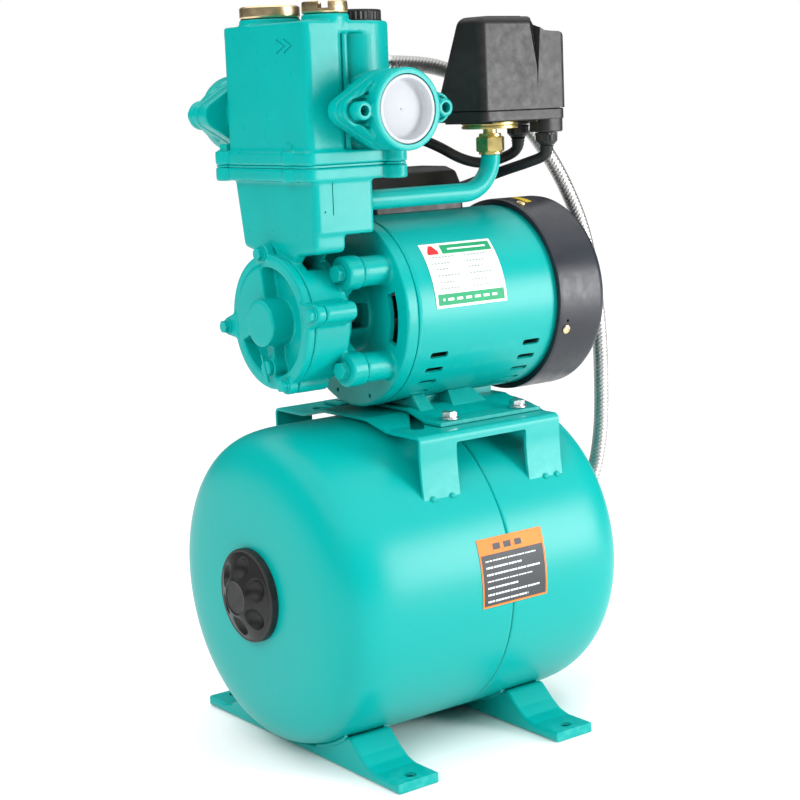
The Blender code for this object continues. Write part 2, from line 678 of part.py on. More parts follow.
def make_cover():
    """The dished cover in front of the impeller, with its hub and drain screw."""
    hub, floor, rim = COVER_HUB_X, COVER_FLOOR_X, COVER_RIM_X
    disc = [(hub, 0), (hub, 15), (hub + 1.5, 16.5), (floor, 16.5), (floor, 38.3),
            (rim + 1, 38.3), (rim, 39.3), (rim, COVER_RADIUS - 1.5), (rim + 1.5, COVER_RADIUS),
            (COVER_JOINT_X, COVER_RADIUS), (COVER_JOINT_X, 41), (floor + 3, 41),
            (floor + 3, 12.5), (hub + 4, 12.5), (hub + 4, 0)]
    cover = turned(disc, (0, 0, AXIS_Z), sides=40)
    start, end = COVER_PLATEAU_ANGLES
    sector = arc((0, AXIS_Z), 39.9, start, end, 8) + arc((0, AXIS_Z), 18.6, end, start, 6)
    drain = (DRAIN_AT[0], AXIS_Z + DRAIN_AT[1])
    pieces = [extruded(sector, "YZ", rim - 1.2, floor + 1.3),
              cylinder(7, (rim - 0.6, *drain), (floor + 1.1, *drain))]
    pieces += [cut(cover_ear(bolt, rim - 0.8, COVER_JOINT_X - 0.2),
                   cylinder(43, (-140, 0, AXIS_Z), (-100, 0, AXIS_Z))) for bolt in COVER_BOLTS]
    hole = cylinder(4.0, (-130, *drain), (-100, *drain))
    part(cut(join(cover, *pieces), hole), "pump_cover", "teal_casting")
    screw = join(cylinder(3.6, (-103.5, *drain), (-117.5, *drain)),
                 cylinder(5.6, (-116.9, *drain), (-120.4, *drain)))
    slot = box((-121, -7, drain[1] - 0.7), (-119, 10, drain[1] + 0.7))
    part(cut(screw, slot), "drain_screw", "brass")


def make_bracket_bolts():
    lug_face = -83 - GAP
    for k, (y, z) in enumerate(standoff_places()):
        bolt = join(cylinder(3.0, (-55, y, z), (lug_face - 2, y, z)),
                    hexagon(11, (lug_face, y, z), (lug_face - 5.5, y, z)))
        part(bolt, f"bracket_bolt_{k + 1}", "teal_casting")


def drill_casing_for_bolts():
    casing = PARTS.objects["pump_casing"]
    cut(casing, *[cylinder(3.4, (-90, y, z), (-60, y, z)) for y, z in standoff_places()])


def make_body_gasket():
    plate = extruded(rounded_rectangle(-112, -38, -51, 51, 5), "XY", SEAM_LOW_Z + GAP,
                     SEAM_HIGH_Z - GAP)
    hole = box((-103, -44, 410), (-63, 44, 430))
    part(cut(plate, hole), "body_gasket", "rubber")


def make_valve_box():
    """The upper casting: a priming chamber in front and the valve column behind it."""
    chamber = extruded(rounded_rectangle(-111, -80, -51, 51, 4), "XY", 428, BODY_TOP_Z)
    pieces = [extruded(rounded_rectangle(-113, -37, -52, 52, 6), "XY", SEAM_HIGH_Z, 429)]
    for x, y in FLANGE_LUGS:
        pieces.append(cylinder(FLANGE_LUG_RADIUS, (x, y, SEAM_HIGH_Z + 0.2), (x, y, 429.3)))
    column = hull_outline([(-72, -22, 26), (*COLUMN, 28), (*VALVE_AXIS, 26)], 24)
    pieces.append(extruded(column, "XY", 428.6, 514.8))
    pieces.append(box((-83, -32, 428.4), (-48, 50.5, 507.5)))
    lid = hull_outline([(-107, 47, 4), (-107, -47, 4), (-84, 47, 4), (-84, -47, 4),
                        (*COLUMN, 27.5)])
    pieces.append(extruded(lid, "XY", 506.5, 514.9))
    pieces.append(cylinder(21.5, (*LARGE_PLUG, 510), (*LARGE_PLUG, 519.2)))
    pieces.append(cylinder(16, (*SMALL_PLUG, 510), (*SMALL_PLUG, 519.7)))
    for x, side, seam, root in ((OUTLET_X, -1, 66.9, 38), (INLET_X, 1, 71.9, 46)):
        oval = hull_outline([(x - PORT_BOLT_SPACING, PORT_Z, 9.5), (x, PORT_Z, 27),
                             (x + PORT_BOLT_SPACING, PORT_Z, 9.5)])
        ends = sorted((side * (seam - 11), side * seam))
        pieces.append(extruded(oval, "XZ", *ends))
        pieces.append(cylinder(24, (x, side * root, PORT_Z), (x, side * (seam - 5), PORT_Z)))
    pieces.append(cylinder(9, (-52, 15, 487), (-24, 15, 487)))

    hollows = [
        box((-105.5, -45.5, 410), (-86, 45.5, 508)),
        cylinder(20, (*VALVE_AXIS, 436), (*VALVE_AXIS, 530)),
        cylinder(12, (*VALVE_AXIS, 410), (*VALVE_AXIS, 440)),
        cylinder(17, (OUTLET_X, -20, PORT_Z), (OUTLET_X, -90, PORT_Z)),
        cylinder(17, (INLET_X, 30, PORT_Z), (INLET_X, 90, PORT_Z)),
        box((-100, 32, PORT_Z - 12), (-84, 44, PORT_Z + 12)),
        cylinder(15, (*LARGE_PLUG, 500), (*LARGE_PLUG, 530)),
        cylinder(10, (*SMALL_PLUG, 500), (*SMALL_PLUG, 530)),
        cylinder(5, (-60, 15, 487), (-20, 15, 487)),
        box((-92, 10, 482), (-56, 20, 492)),
    ]
    part(cut(join(chamber, *pieces), *hollows), "valve_box", "teal_casting")


def make_valve_parts():
    x, y = VALVE_AXIS
    top = BODY_TOP_Z + GAP
    cap = [(512, 0), (512, 3.6), (504, 3.6), (504, 7), (510, 7), (510, 19.5), (top, 19.5),
           (top, 24), (top + 7, 24), (top + 8, 23), (top + 8, 0)]
    part(turned(cap, (x, y, 0), "Z"), "valve_column_cap", "black_plastic")
    poppet = [(424, 0), (424, 4), (436.4, 4), (436.4, 16), (440.4, 16), (440.4, 5), (444, 3),
              (503, 3), (503, 0)]
    part(turned(poppet, (x, y, 0), "Z"), "check_valve_poppet", "brass", POPPET_AXIS)

    large = [(503, 0), (503, 14.2), (519.6, 14.2), (519.6, 20), (520.6, 21), (527, 21),
             (528, 20), (528, 12), (524, 11), (524, 0)]
    part(turned(large, (*LARGE_PLUG, 0), "Z"), "priming_plug", "brass")
    small = [(504, 0), (504, 9.6), (520.1, 9.6), (520.1, 15), (527.5, 15.5), (528, 15), (528, 0)]
    small = turned(small, (*SMALL_PLUG, 0), "Z")
    slot = box((-20, -3.5, 523), (20, 3.5, 535))
    slot.data.transform(Matrix.Translation(Vector((*SMALL_PLUG, 0)) * MM)
                        @ Matrix.Rotation(radians(50), 4, "Z"))
    part(cut(small, slot), "gauge_plug", "brass")


def make_ports():
    """A counter flange and its blanking plug on each side."""
    for name, x, side, seam in (("outlet", OUTLET_X, -1, 67.2), ("inlet", INLET_X, 1, 72.2)):
        def along(distance):
            return side * (seam + distance)

        oval = hull_outline([(x - PORT_BOLT_SPACING, PORT_Z, 9.5), (x, PORT_Z, 27),
                             (x + PORT_BOLT_SPACING, PORT_Z, 9.5)])
        flange = extruded(oval, "XZ", *sorted((along(0), along(8))))
        pieces = [cylinder(27.5, (x, along(7.8), PORT_Z), (x, along(21.3), PORT_Z))]
        cuts = [cylinder(17, (x, along(-5), PORT_Z), (x, along(10), PORT_Z)),
                cylinder(23.6, (x, along(7), PORT_Z), (x, along(30), PORT_Z))]
        for bolt_x in (x - PORT_BOLT_SPACING, x + PORT_BOLT_SPACING):
            pieces.append(cylinder(8, (bolt_x, along(7.6), PORT_Z),
                                   (bolt_x, along(19), PORT_Z)))
            cuts.append(cylinder(4.2, (bolt_x, along(6), PORT_Z),
                                 (bolt_x, along(25), PORT_Z)))
        part(cut(join(flange, *pieces), *cuts), f"{name}_flange", "teal_casting")
        shape = [(7.4, 0), (7.4, 22.9), (20.5, 22.9), (20.5, 20.5), (12, 19), (12, 0)]
        plug = turned([(side * (seam + h), r) for h, r in shape], (x, 0, PORT_Z), "Y")
        part(plug, f"{name}_port_plug", "port_plastic")


# ---------------------------------------------------------------- pressure switch

def make_switch_pipe():
    bend = 26.0
    x, y = STEM
    z = SWITCH_PIPE_AT[1]
    corner = arc((x - bend, z + bend), bend, -90, 0, 8)
    route = [(-53.6, y, z), (-20, y, z), (10, y, z)] + [(u, y, v) for u, v in corner]
    route.append((x, y, 419.2))
    part(tube(route, PIPE_RADIUS, 3), "switch_pipe", "teal_paint")
    nut = join(hexagon(19, (x, y, 419.5), (x, y, 434.6)),
               cylinder(5, (x, y, 434), (x, y, 437.7)))
    part(nut, "pipe_nut", "yellow_zinc")
    part(cylinder(20.5, (x, y, 438), (x, y, 442.9)), "diaphragm_plate", "yellow_zinc")


def make_switch_housing():
    (x0, x1), (y0, y1) = SWITCH_X, SWITCH_Y
    stem_x, stem_y = STEM
    tray = box((x0, y0, 443.2), (x1, y1, 451))
    deep = box((89, y0 + 1.5, 434), (x1 - 1, y0 + 22, 447))
    gland_boss = cylinder(8, (*LONG_GLAND, 440), (*LONG_GLAND, 446))
    pocket = box((x0 + 3, y0 + 3, 446), (x1 - 3, y1 - 3, 460))
    hole = cylinder(5, (stem_x, stem_y, 440), (stem_x, stem_y, 450))
    part(cut(join(tray, deep, gland_boss), pocket, hole), "switch_base", "black_plastic")

    roof = [(y0, 451.3), (y1, 451.3), (y0 + 28, 517), (y0 + 0.8, 517)]
    inside = [(y0 + 2.5, 440), (y1 - 1.5, 440), (y1 - 3.2, 451), (y0 + 26.5, 514.5),
              (y0 + 3.3, 514.5)]
    cover = extruded(roof, "YZ", x0, x1)
    hollow = extruded(inside, "YZ", x0 + 2.5, x1 - 2.5)
    step = extruded([(92, 517.5), (97, 507), (120, 505), (120, 530), (90, 530)], "XZ", -80, 20)
    step_hollow = box((80, y0 - 5, 500), (x1 + 5, y1 + 5, 520))
    part(cut(cover, cut(hollow, step_hollow), step), "switch_cover", "black_plastic")

    plunger = [(443.4, 0), (443.4, 4.2), (452, 4.2), (452, 9), (454, 9), (454, 3), (470, 3),
               (470, 0)]
    part(turned(plunger, (*STEM, 0), "Z"), "switch_plunger", "brass", PLUNGER_AXIS)
    for name, place, top in (("switch_gland_long", LONG_GLAND, 439.7),
                             ("switch_gland_short", SHORT_GLAND, 433.7)):
        part(cylinder(7, (*place, top), (*place, top - 9.2), 12), name, "black_plastic")


def make_cords():
    part(tube(smooth_route(HOSE_ROUTE, 15), HOSE_RADIUS), "braided_hose", "braid")
    part(tube(smooth_route(LONG_CABLE_ROUTE, 9), CABLE_RADIUS), "long_cable", "rubber")
    part(tube(smooth_route(SHORT_CABLE_ROUTE, 8), CABLE_RADIUS), "short_cable", "rubber")
    part(hexagon(19, (-23.7, 15, 487), (-9.7, 15, 487)), "hose_nut_upper", "zinc")
    low = TANK_AXIS_Z
    part(hexagon(19, (132.8, 0, low), (143.1, 0, low)), "hose_nut_lower", "zinc")


def stand_on_origin():
    """Put the origin on the floor under the middle of the set."""
    stand = make_axis("set_stand", (0, 0, 0))
    for obj in list(PARTS.objects) + list(HELPERS.objects):
        if obj != stand and not obj.parent:
            obj.parent = stand
    stand.location.x = -SET_MIDDLE_X * MM


make_tank()
make_feet()
make_bracket()
make_motor_foot()
make_motor_shell()
make_stator()
make_rotor()
make_rear_end()
make_front_bracket()
make_terminal_box()
make_casing()
drill_casing_for_bolts()
make_head_internals()
make_cover()
make_bracket_bolts()
make_body_gasket()
make_valve_box()
make_valve_parts()
make_ports()
make_switch_pipe()
make_switch_housing()
make_cords()
stand_on_origin()
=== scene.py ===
"""The finished look of the automatic booster pump set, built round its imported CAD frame.

Lengths are in millimetres and MM turns them into metres. X runs along the motor shaft from
the pump head to the fan cover, Y across, and Z up from the floor. Each piece takes the place
of its CAD node, rides on that node's body, and keeps to that node's measures.
"""
from math import cos, pi, radians, sin, sqrt

import bmesh
import bpy
import numpy as np
from mathutils import Matrix, Vector


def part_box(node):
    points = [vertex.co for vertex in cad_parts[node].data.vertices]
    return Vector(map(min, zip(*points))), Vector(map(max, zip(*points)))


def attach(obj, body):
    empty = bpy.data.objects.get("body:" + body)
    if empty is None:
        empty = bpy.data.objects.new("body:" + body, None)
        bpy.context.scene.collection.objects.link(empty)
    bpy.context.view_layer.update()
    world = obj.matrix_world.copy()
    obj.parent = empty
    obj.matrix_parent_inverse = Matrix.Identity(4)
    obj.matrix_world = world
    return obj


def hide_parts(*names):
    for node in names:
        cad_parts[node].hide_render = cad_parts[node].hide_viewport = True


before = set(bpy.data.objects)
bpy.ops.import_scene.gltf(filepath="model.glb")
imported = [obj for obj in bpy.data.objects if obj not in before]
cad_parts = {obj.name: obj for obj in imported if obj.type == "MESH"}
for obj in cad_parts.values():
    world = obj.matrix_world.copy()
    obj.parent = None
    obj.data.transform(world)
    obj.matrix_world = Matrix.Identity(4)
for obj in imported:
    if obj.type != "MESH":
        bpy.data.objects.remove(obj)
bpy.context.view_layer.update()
MM = 0.001
DRAWING_ZERO = Vector((6.35, 0, 0))     # where this script's own zero lies in the frame


def placed(point):
    """A point of this script, in millimetres, as a place in the frame, in metres."""
    return tuple((Vector(point) + DRAWING_ZERO) * MM)


def span(node):
    """The lowest and highest corners of a CAD node, in millimetres."""
    low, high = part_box(node)
    return Vector(low) / MM - DRAWING_ZERO, Vector(high) / MM - DRAWING_ZERO


def middle(node):
    low, high = span(node)
    return (low + high) / 2


# ---------------------------------------------------------------- camera

CAMERA_PLACE = Vector((-778.4, -1029.7, 462.9))
CAMERA_AIM = Vector((-4.7, 0.0, 242.1))
CAMERA_LENS = 79.44
CAMERA_ROLL = radians(2.07)


def make_camera():
    forward = (CAMERA_AIM - CAMERA_PLACE).normalized()
    right = forward.cross(Vector((0, 0, 1))).normalized()
    up = right.cross(forward)
    level = right * cos(CAMERA_ROLL) - up * sin(CAMERA_ROLL)
    rise = right * sin(CAMERA_ROLL) + up * cos(CAMERA_ROLL)
    camera = bpy.data.objects.new("camera", bpy.data.cameras.new("camera"))
    camera.data.lens = CAMERA_LENS
    camera.data.sensor_width = 36
    camera.data.clip_start = 0.05
    camera.data.clip_end = 60
    turn = Matrix((level, rise, -forward)).transposed().to_4x4()
    camera.matrix_world = Matrix.Translation(placed(CAMERA_PLACE)) @ turn
    bpy.context.scene.collection.objects.link(camera)
    bpy.context.scene.camera = camera


make_camera()

# ---------------------------------------------------------------- places taken from the frame

TANK_Z = round(middle("tank_front_shell").z, 1)
AXIS_Z = round(middle("motor_shell").z, 1)
SHAFT = (0, AXIS_Z)
SEAM_HIGH = 419.8              # underside of the valve box
SEAM_LOW = 418.0               # top of the pump casing
PORT_Z = 455.0
OUTLET_X = -55.5
INLET_X = -79.0
PORT_BOLT = 34.0
VALVE_AXIS = (-48.0, -12.0)
COLUMN = (-54.0, -20.0)
LARGE_PLUG = (-88.0, 24.0)
SMALL_PLUG = (-82.5, -35.0)
STEM = (63.0, -31.0)
STANDOFFS = [(y, AXIS_Z + z) for y in (-42.0, 42.0) for z in (-33.5, 33.5)]
FLANGE_LUGS = [(-108, 58), (-108, -27), (-41, -53), (-41, 53), (-34, 0)]
COVER_BOLTS = [(53.5, -6.9), (-55.5, 9.4), (4.4, 47.7), (-17.8, -42.4)]
FOOT_BOLTS = [(x, y) for x in (-9.0, 55.0) for y in (-63.0, 63.0)]

# ---------------------------------------------------------------- materials


def principled(name, colour, roughness, metallic, coat=0.0, sheen=0.5):
    """A new material and its parts; sheen is the strength of the plain reflection."""
    material = bpy.data.materials.new(name)
    material.use_nodes = True
    shader = material.node_tree.nodes["Principled BSDF"]
    shader.inputs["Base Color"].default_value = (*colour, 1)
    shader.inputs["Roughness"].default_value = roughness
    shader.inputs["Metallic"].default_value = metallic
    shader.inputs["Coat Weight"].default_value = coat
    shader.inputs["Specular IOR Level"].default_value = sheen
    shader.inputs["Coat Roughness"].default_value = 0.08
    return material, material.node_tree.nodes, material.node_tree.links, shader


def noise(nodes, links, source, scale, detail=3.0, stretch=None):
    texture = nodes.new("ShaderNodeTexNoise")
    texture.inputs["Scale"].default_value = scale
    texture.inputs["Detail"].default_value = detail
    if stretch:
        mapping = nodes.new("ShaderNodeMapping")
        mapping.inputs["Scale"].default_value = stretch
        links.new(source, mapping.inputs["Vector"])
        source = mapping.outputs["Vector"]
    links.new(source, texture.inputs["Vector"])
    return texture.outputs["Fac"]


def remap(nodes, links, value, low, high, to_low, to_high):
    node = nodes.new("ShaderNodeMapRange")
    for socket, number in zip(("From Min", "From Max", "To Min", "To Max"),
                              (low, high, to_low, to_high)):
        node.inputs[socket].default_value = number
    links.new(value, node.inputs["Value"])
    return node.outputs["Result"]


def blend(nodes, links, factor, first, second):
    """Mix two colours; each is a socket or a plain colour."""
    node = nodes.new("ShaderNodeMix")
    node.data_type = "RGBA"
    links.new(factor, node.inputs["Factor"])
    for socket, colour in ((node.inputs["A"], first), (node.inputs["B"], second)):
        if isinstance(colour, tuple):
            socket.default_value = (*colour, 1)
        else:
            links.new(colour, socket)
    return node.outputs["Result"]


def finish_coat(name, colour, roughness, metallic=0.0, coat=0.0, shade=0.10, cloud=14.0,
                grain=700.0, height=0.03, spread=0.06, wear_and_highlight=(0.55, 0.55, 0.55), wear_and_highlight_share=0.25,
                stretch=None, sheen=0.5):
    """A finish with mottled colour, uneven gloss, a fine surface grain and sharp edges tinted
    in patches, partly as wear and partly as a painted highlight.

    shade is the share of colour variation, cloud and grain are the scales of its broad and
    fine unevenness in waves a metre, height the depth of the grain in millimetres, spread the
    roughness variation, and wear_and_highlight the colour that sharp edges turn to, partly as
    wear and partly as a painted highlight.
    """
    material, nodes, links, shader = principled(name, colour, roughness, metallic, coat,
                                                sheen)
    place = nodes.new("ShaderNodeTexCoord").outputs["Object"]
    broad = noise(nodes, links, place, cloud, 4.0, stretch)
    fine = noise(nodes, links, place, grain, 2.0, stretch)
    spots = noise(nodes, links, place, 160.0, 6.0)

    dark = tuple(c * (1 - shade) for c in colour)
    light = tuple(min(c * (1 + shade), 1.0) for c in colour)
    mottled = blend(nodes, links, remap(nodes, links, broad, 0.35, 0.65, 0, 1), dark, light)

    # Sharp convex edges turn in patches towards the edge colour: partly wear, partly a painted
    # highlight.
    edge = nodes.new("ShaderNodeNewGeometry").outputs["Pointiness"]
    rubbed_and_lit = nodes.new("ShaderNodeMath")
    rubbed_and_lit.operation = "MULTIPLY"
    links.new(remap(nodes, links, edge, 0.53, 0.62, 0, wear_and_highlight_share), rubbed_and_lit.inputs[0])
    links.new(remap(nodes, links, spots, 0.42, 0.62, 0, 1), rubbed_and_lit.inputs[1])
    links.new(blend(nodes, links, rubbed_and_lit.outputs[0], mottled, wear_and_highlight),
              shader.inputs["Base Color"])

    gloss = remap(nodes, links, spots, 0.3, 0.7, roughness - spread, roughness + spread)
    links.new(gloss, shader.inputs["Roughness"])
    bump = nodes.new("ShaderNodeBump")
    bump.inputs["Strength"].default_value = 0.6
    bump.inputs["Distance"].default_value = height * MM
    links.new(fine, bump.inputs["Height"])
    links.new(bump.outputs["Normal"], shader.inputs["Normal"])
    return material


def braid_finish(name):
    """Polished steel wire with painted shade in its low places, which the mesh itself marks.
    """
    material, nodes, links, shader = principled(name, (0.60, 0.60, 0.60), 0.42, 1.0)
    place = nodes.new("ShaderNodeTexCoord").outputs["Object"]
    weave = nodes.new("ShaderNodeAttribute")
    weave.attribute_name = "weave"
    # The low places of the weave are painted dark grey as painted shade; the crowns keep the
    # wire's own colour.
    weave_shade = remap(nodes, links, weave.outputs["Fac"], 0.12, 0.6, 0, 1)
    dull = noise(nodes, links, place, 60.0, 3.0)
    bright = blend(nodes, links, dull, (0.42, 0.415, 0.405), (0.56, 0.55, 0.535))
    links.new(blend(nodes, links, weave_shade, (0.17, 0.17, 0.165), bright),
              shader.inputs["Base Color"])
    links.new(remap(nodes, links, dull, 0.3, 0.7, 0.38, 0.5), shader.inputs["Roughness"])
    bump = nodes.new("ShaderNodeBump")
    bump.inputs["Strength"].default_value = 0.5
    bump.inputs["Distance"].default_value = 0.05 * MM
    links.new(noise(nodes, links, place, 1800.0, 2.0), bump.inputs["Height"])
    links.new(bump.outputs["Normal"], shader.inputs["Normal"])
    return material


TEAL = (0.0, 0.335, 0.31)
# The edge colour given to each finish below is what its sharp edges turn to in patches: partly
# wear, partly a painted highlight.
MATERIALS = {
    "teal_paint": finish_coat("teal_paint", TEAL, 0.33, sheen=0.22, shade=0.02, cloud=6,
                              grain=500, height=0.0015, spread=0.012, wear_and_highlight=(0.10, 0.55, 0.50)),
    "teal_casting": finish_coat("teal_casting", (0.0, 0.33, 0.305), 0.30, sheen=0.20,
                                shade=0.03, cloud=30, grain=1000, height=0.06,
                                spread=0.03, wear_and_highlight=(0.10, 0.56, 0.52)),
    "black_plastic": finish_coat("black_plastic", (0.012, 0.012, 0.012), 0.42, sheen=0.3,
                                 shade=0.2, grain=1500, height=0.03, wear_and_highlight=(0.08, 0.08, 0.08)),
    "black_gloss": finish_coat("black_gloss", (0.016, 0.019, 0.026), 0.36, sheen=0.34,
                               shade=0.2, grain=500, height=0.01, wear_and_highlight=(0.07, 0.07, 0.07)),
    "port_plastic": finish_coat("port_plastic", (0.44, 0.46, 0.49), 0.42, sheen=0.12,
                                shade=0.05, grain=900, height=0.02, wear_and_highlight=(0.85, 0.85, 0.9)),
    "brass": finish_coat("brass", (0.80, 0.62, 0.36), 0.34, 1.0, shade=0.12, cloud=40,
                         grain=1100, height=0.03, wear_and_highlight=(0.95, 0.80, 0.52)),
    "zinc": finish_coat("zinc", (0.72, 0.73, 0.74), 0.28, 1.0, shade=0.12, cloud=90,
                        grain=900, height=0.03, wear_and_highlight=(0.9, 0.9, 0.9)),
    "yellow_zinc": finish_coat("yellow_zinc", (0.62, 0.50, 0.20), 0.32, 1.0, shade=0.22,
                               cloud=70, grain=900, height=0.03, wear_and_highlight=(0.8, 0.7, 0.4)),
    "steel": finish_coat("steel", (0.56, 0.57, 0.58), 0.3, 1.0, shade=0.08, cloud=60,
                         grain=1600, height=0.02),
    "lamination": finish_coat("lamination", (0.20, 0.20, 0.22), 0.5, 1.0, shade=0.2,
                              cloud=60, grain=1400, height=0.05, stretch=(12, 1, 1)),
    "copper": finish_coat("copper", (0.55, 0.22, 0.09), 0.4, 1.0, shade=0.25, cloud=80,
                          grain=900, height=0.2, stretch=(1, 6, 6)),
    "aluminium": finish_coat("aluminium", (0.66, 0.67, 0.68), 0.42, 1.0, shade=0.1,
                             cloud=50, grain=800, height=0.1),
    "rubber": finish_coat("rubber", (0.012, 0.012, 0.013), 0.5, sheen=0.25, shade=0.25,
                          grain=1200, height=0.04, wear_and_highlight=(0.06, 0.06, 0.06)),
    "ceramic": finish_coat("ceramic", (0.80, 0.79, 0.75), 0.3, shade=0.05, grain=900,
                           height=0.02),
    "braid": braid_finish("braid"),
}


def printed_ink(name, colour):
    return finish_coat(f"ink_{name}", colour, 0.42, sheen=0.14, shade=0.06, cloud=40,
                       grain=900, height=0.01, wear_and_highlight_share=0.0)


INKS = {name: printed_ink(name, colour) for name, colour in (
    ("white", (0.80, 0.82, 0.82)), ("green", (0.015, 0.28, 0.12)),
    ("orange", (0.80, 0.20, 0.03)), ("dark", (0.06, 0.065, 0.07)),
    ("yellow", (0.80, 0.55, 0.03)), ("red", (0.55, 0.03, 0.03)),
    ("grey", (0.30, 0.36, 0.33)), ("pale", (0.50, 0.66, 0.58)))}

# ---------------------------------------------------------------- shapes


def loft(rings, looped=False):
    """A closed skin through rings of points, each ring with the same number of points."""
    rings = np.asarray(rings, dtype=float)
    rows, count = rings.shape[:2]
    faces = []
    for i in range(rows if looped else rows - 1):
        a, b = i * count, (i + 1) % rows * count
        faces += [(a + j, a + (j + 1) % count, b + (j + 1) % count, b + j)
                  for j in range(count)]
    if not looped:
        faces += [tuple(range(count)), tuple(range((rows - 1) * count, rows * count))]
    mesh = bpy.data.meshes.new("skin")
    mesh.from_pydata((rings.reshape(-1, 3) * MM).tolist(), [], faces)
    bm = bmesh.new()
    bm.from_mesh(mesh)
    bmesh.ops.remove_doubles(bm, verts=bm.verts, dist=1e-6)
    bpy.data.meshes.remove(mesh)
    return from_bmesh(bm)


def as_object(bm):
    mesh = bpy.data.meshes.new("piece")
    bm.to_mesh(mesh)
    bm.free()
    obj = bpy.data.objects.new("piece", mesh)
    bpy.context.scene.collection.objects.link(obj)
    return obj


def from_bmesh(bm):
    bmesh.ops.recalc_face_normals(bm, faces=bm.faces)
    return as_object(bm)


def gather(*shapes):
    """Several shapes as one object."""
    if len(shapes) == 1:
        return shapes[0]
    bm = bmesh.new()
    for shape in shapes:
        bm.from_mesh(shape.data)
        bpy.data.objects.remove(shape)
    return as_object(bm)


def settle(obj):
    """Turn an object's modifiers into its own mesh."""
    graph = bpy.context.evaluated_depsgraph_get()
    mesh = bpy.data.meshes.new_from_object(obj.evaluated_get(graph))
    obj.modifiers.clear()
    obj.data = mesh
    return obj


def cut(body, *cutters):
    """Take cutters that don't overlap one another out of a body."""
    tool = gather(*cutters)
    modifier = body.modifiers.new("Cut", "BOOLEAN")
    modifier.operation = "DIFFERENCE"
    modifier.solver = "EXACT"
    modifier.object = tool
    settle(body)
    bpy.data.objects.remove(tool)
    return body


def cast(shapes, voxel=1.0, passes=5):
    """Shapes grown together into one casting, with every corner softened."""
    body = gather(*shapes)
    remesh = body.modifiers.new("Remesh", "REMESH")
    remesh.mode = "VOXEL"
    remesh.voxel_size = voxel * MM
    smooth = body.modifiers.new("Smooth", "SMOOTH")
    smooth.factor = 0.5
    smooth.iterations = passes
    return settle(body)


def arc(centre, radius, start, end, steps):
    """Points on an arc; the angles are degrees."""
    angles = [radians(start + (end - start) * k / steps) for k in range(steps + 1)]
    return [(centre[0] + radius * cos(a), centre[1] + radius * sin(a)) for a in angles]


def rounded(points, radius, closed=True, steps=5):
    """The same line of points with each corner curved; a third number is its own radius."""
    line = []
    for i, point in enumerate(points):
        here = Vector(point[:2])
        reach = point[2] if len(point) > 2 else radius
        if reach <= 0 or (not closed and i in (0, len(points) - 1)):
            line.append(tuple(here))
            continue
        back = Vector(points[i - 1][:2]) - here
        ahead = Vector(points[(i + 1) % len(points)][:2]) - here
        angle = back.angle(ahead, pi)
        if angle > pi - 0.05:
            line.append(tuple(here))
            continue
        reach = min(reach / max(abs(np.tan(angle / 2)), 0.05), 0.48 * back.length,
                    0.48 * ahead.length)
        first, last = here + back.normalized() * reach, here + ahead.normalized() * reach
        for k in range(steps + 1):
            t = k / steps
            line.append(tuple(first * (1 - t) ** 2 + here * 2 * t * (1 - t) + last * t * t))
    return line


def rectangle(u0, u1, v0, v1, radius=3.0, steps=5):
    return rounded([(u0, v0), (u1, v0), (u1, v1), (u0, v1)], radius, steps=steps)


def hull(circles, steps=48):
    """The outline of a belt drawn tight round circles, each given as (u, v, radius)."""
    cloud = sorted({(u + r * cos(2 * pi * k / steps), v + r * sin(2 * pi * k / steps))
                    for u, v, r in circles for k in range(steps)})

    def half(points):
        chain = []
        for p in points:
            while len(chain) > 1:
                (ax, ay), (bx, by) = chain[-2:]
                if (bx - ax) * (p[1] - ay) - (by - ay) * (p[0] - ax) > 1e-9:
                    break
                chain.pop()
            chain.append(p)
        return chain[:-1]

    return half(cloud) + half(cloud[::-1])


def directions(angles):
    return np.stack((np.cos(angles), np.sin(angles)), axis=1)


def oriented(axis, along, points):
    """Points (u, v) set in the plane across an axis, at a distance along it."""
    u, v = np.asarray(points, dtype=float).T
    w = np.full(len(u), float(along))
    return np.stack({"X": (w, u, v), "Y": (u, w, v), "Z": (u, v, w)}[axis], axis=1)


def inset(outline, distance):
    """The outline moved inwards by a distance."""
    p = np.asarray(outline, dtype=float)
    before, after = p - np.roll(p, 1, 0), np.roll(p, -1, 0) - p
    turn = np.sum(p[:, 0] * np.roll(p[:, 1], -1) - np.roll(p[:, 0], -1) * p[:, 1])
    side = np.sign(turn)

    def normal(d):
        d = d / np.maximum(np.linalg.norm(d, axis=1, keepdims=True), 1e-9)
        return np.stack((-d[:, 1], d[:, 0]), axis=1) * side

    n = normal(before) + normal(after)
    n /= np.maximum(np.linalg.norm(n, axis=1, keepdims=True), 1e-6)
    stretch = 1 / np.maximum(np.sum(n * normal(after), axis=1, keepdims=True), 0.5)
    return p + n * stretch * distance


def prism(outline, axis, low, high, edge=0.8, steps=4):
    """An outline given thickness along an axis, with rounded rims."""
    levels = [(low, 0)]
    if edge > 0:
        turns = [pi / 2 * k / steps for k in range(steps, -1, -1)]
        levels = [(low + edge * (1 - sin(a)), edge * (1 - cos(a))) for a in turns]
    levels += [(low + high - h, d) for h, d in reversed(levels)]
    return loft([oriented(axis, h, inset(outline, d)) for h, d in levels])


def slab(low, high, edge=0.8, corner=0.8):
    """A block with rounded edges."""
    return prism(rectangle(low[0], high[0], low[1], high[1], corner, 4), "Z", low[2],
                 high[2], edge)


def softened(shape, width, segments=3, sharper_than=30):
    """Round every edge sharper than an angle."""
    bevel = shape.modifiers.new("Bevel", "BEVEL")
    bevel.width = width * MM
    bevel.segments = segments
    bevel.limit_method = "ANGLE"
    bevel.angle_limit = radians(sharper_than)
    return settle(shape)


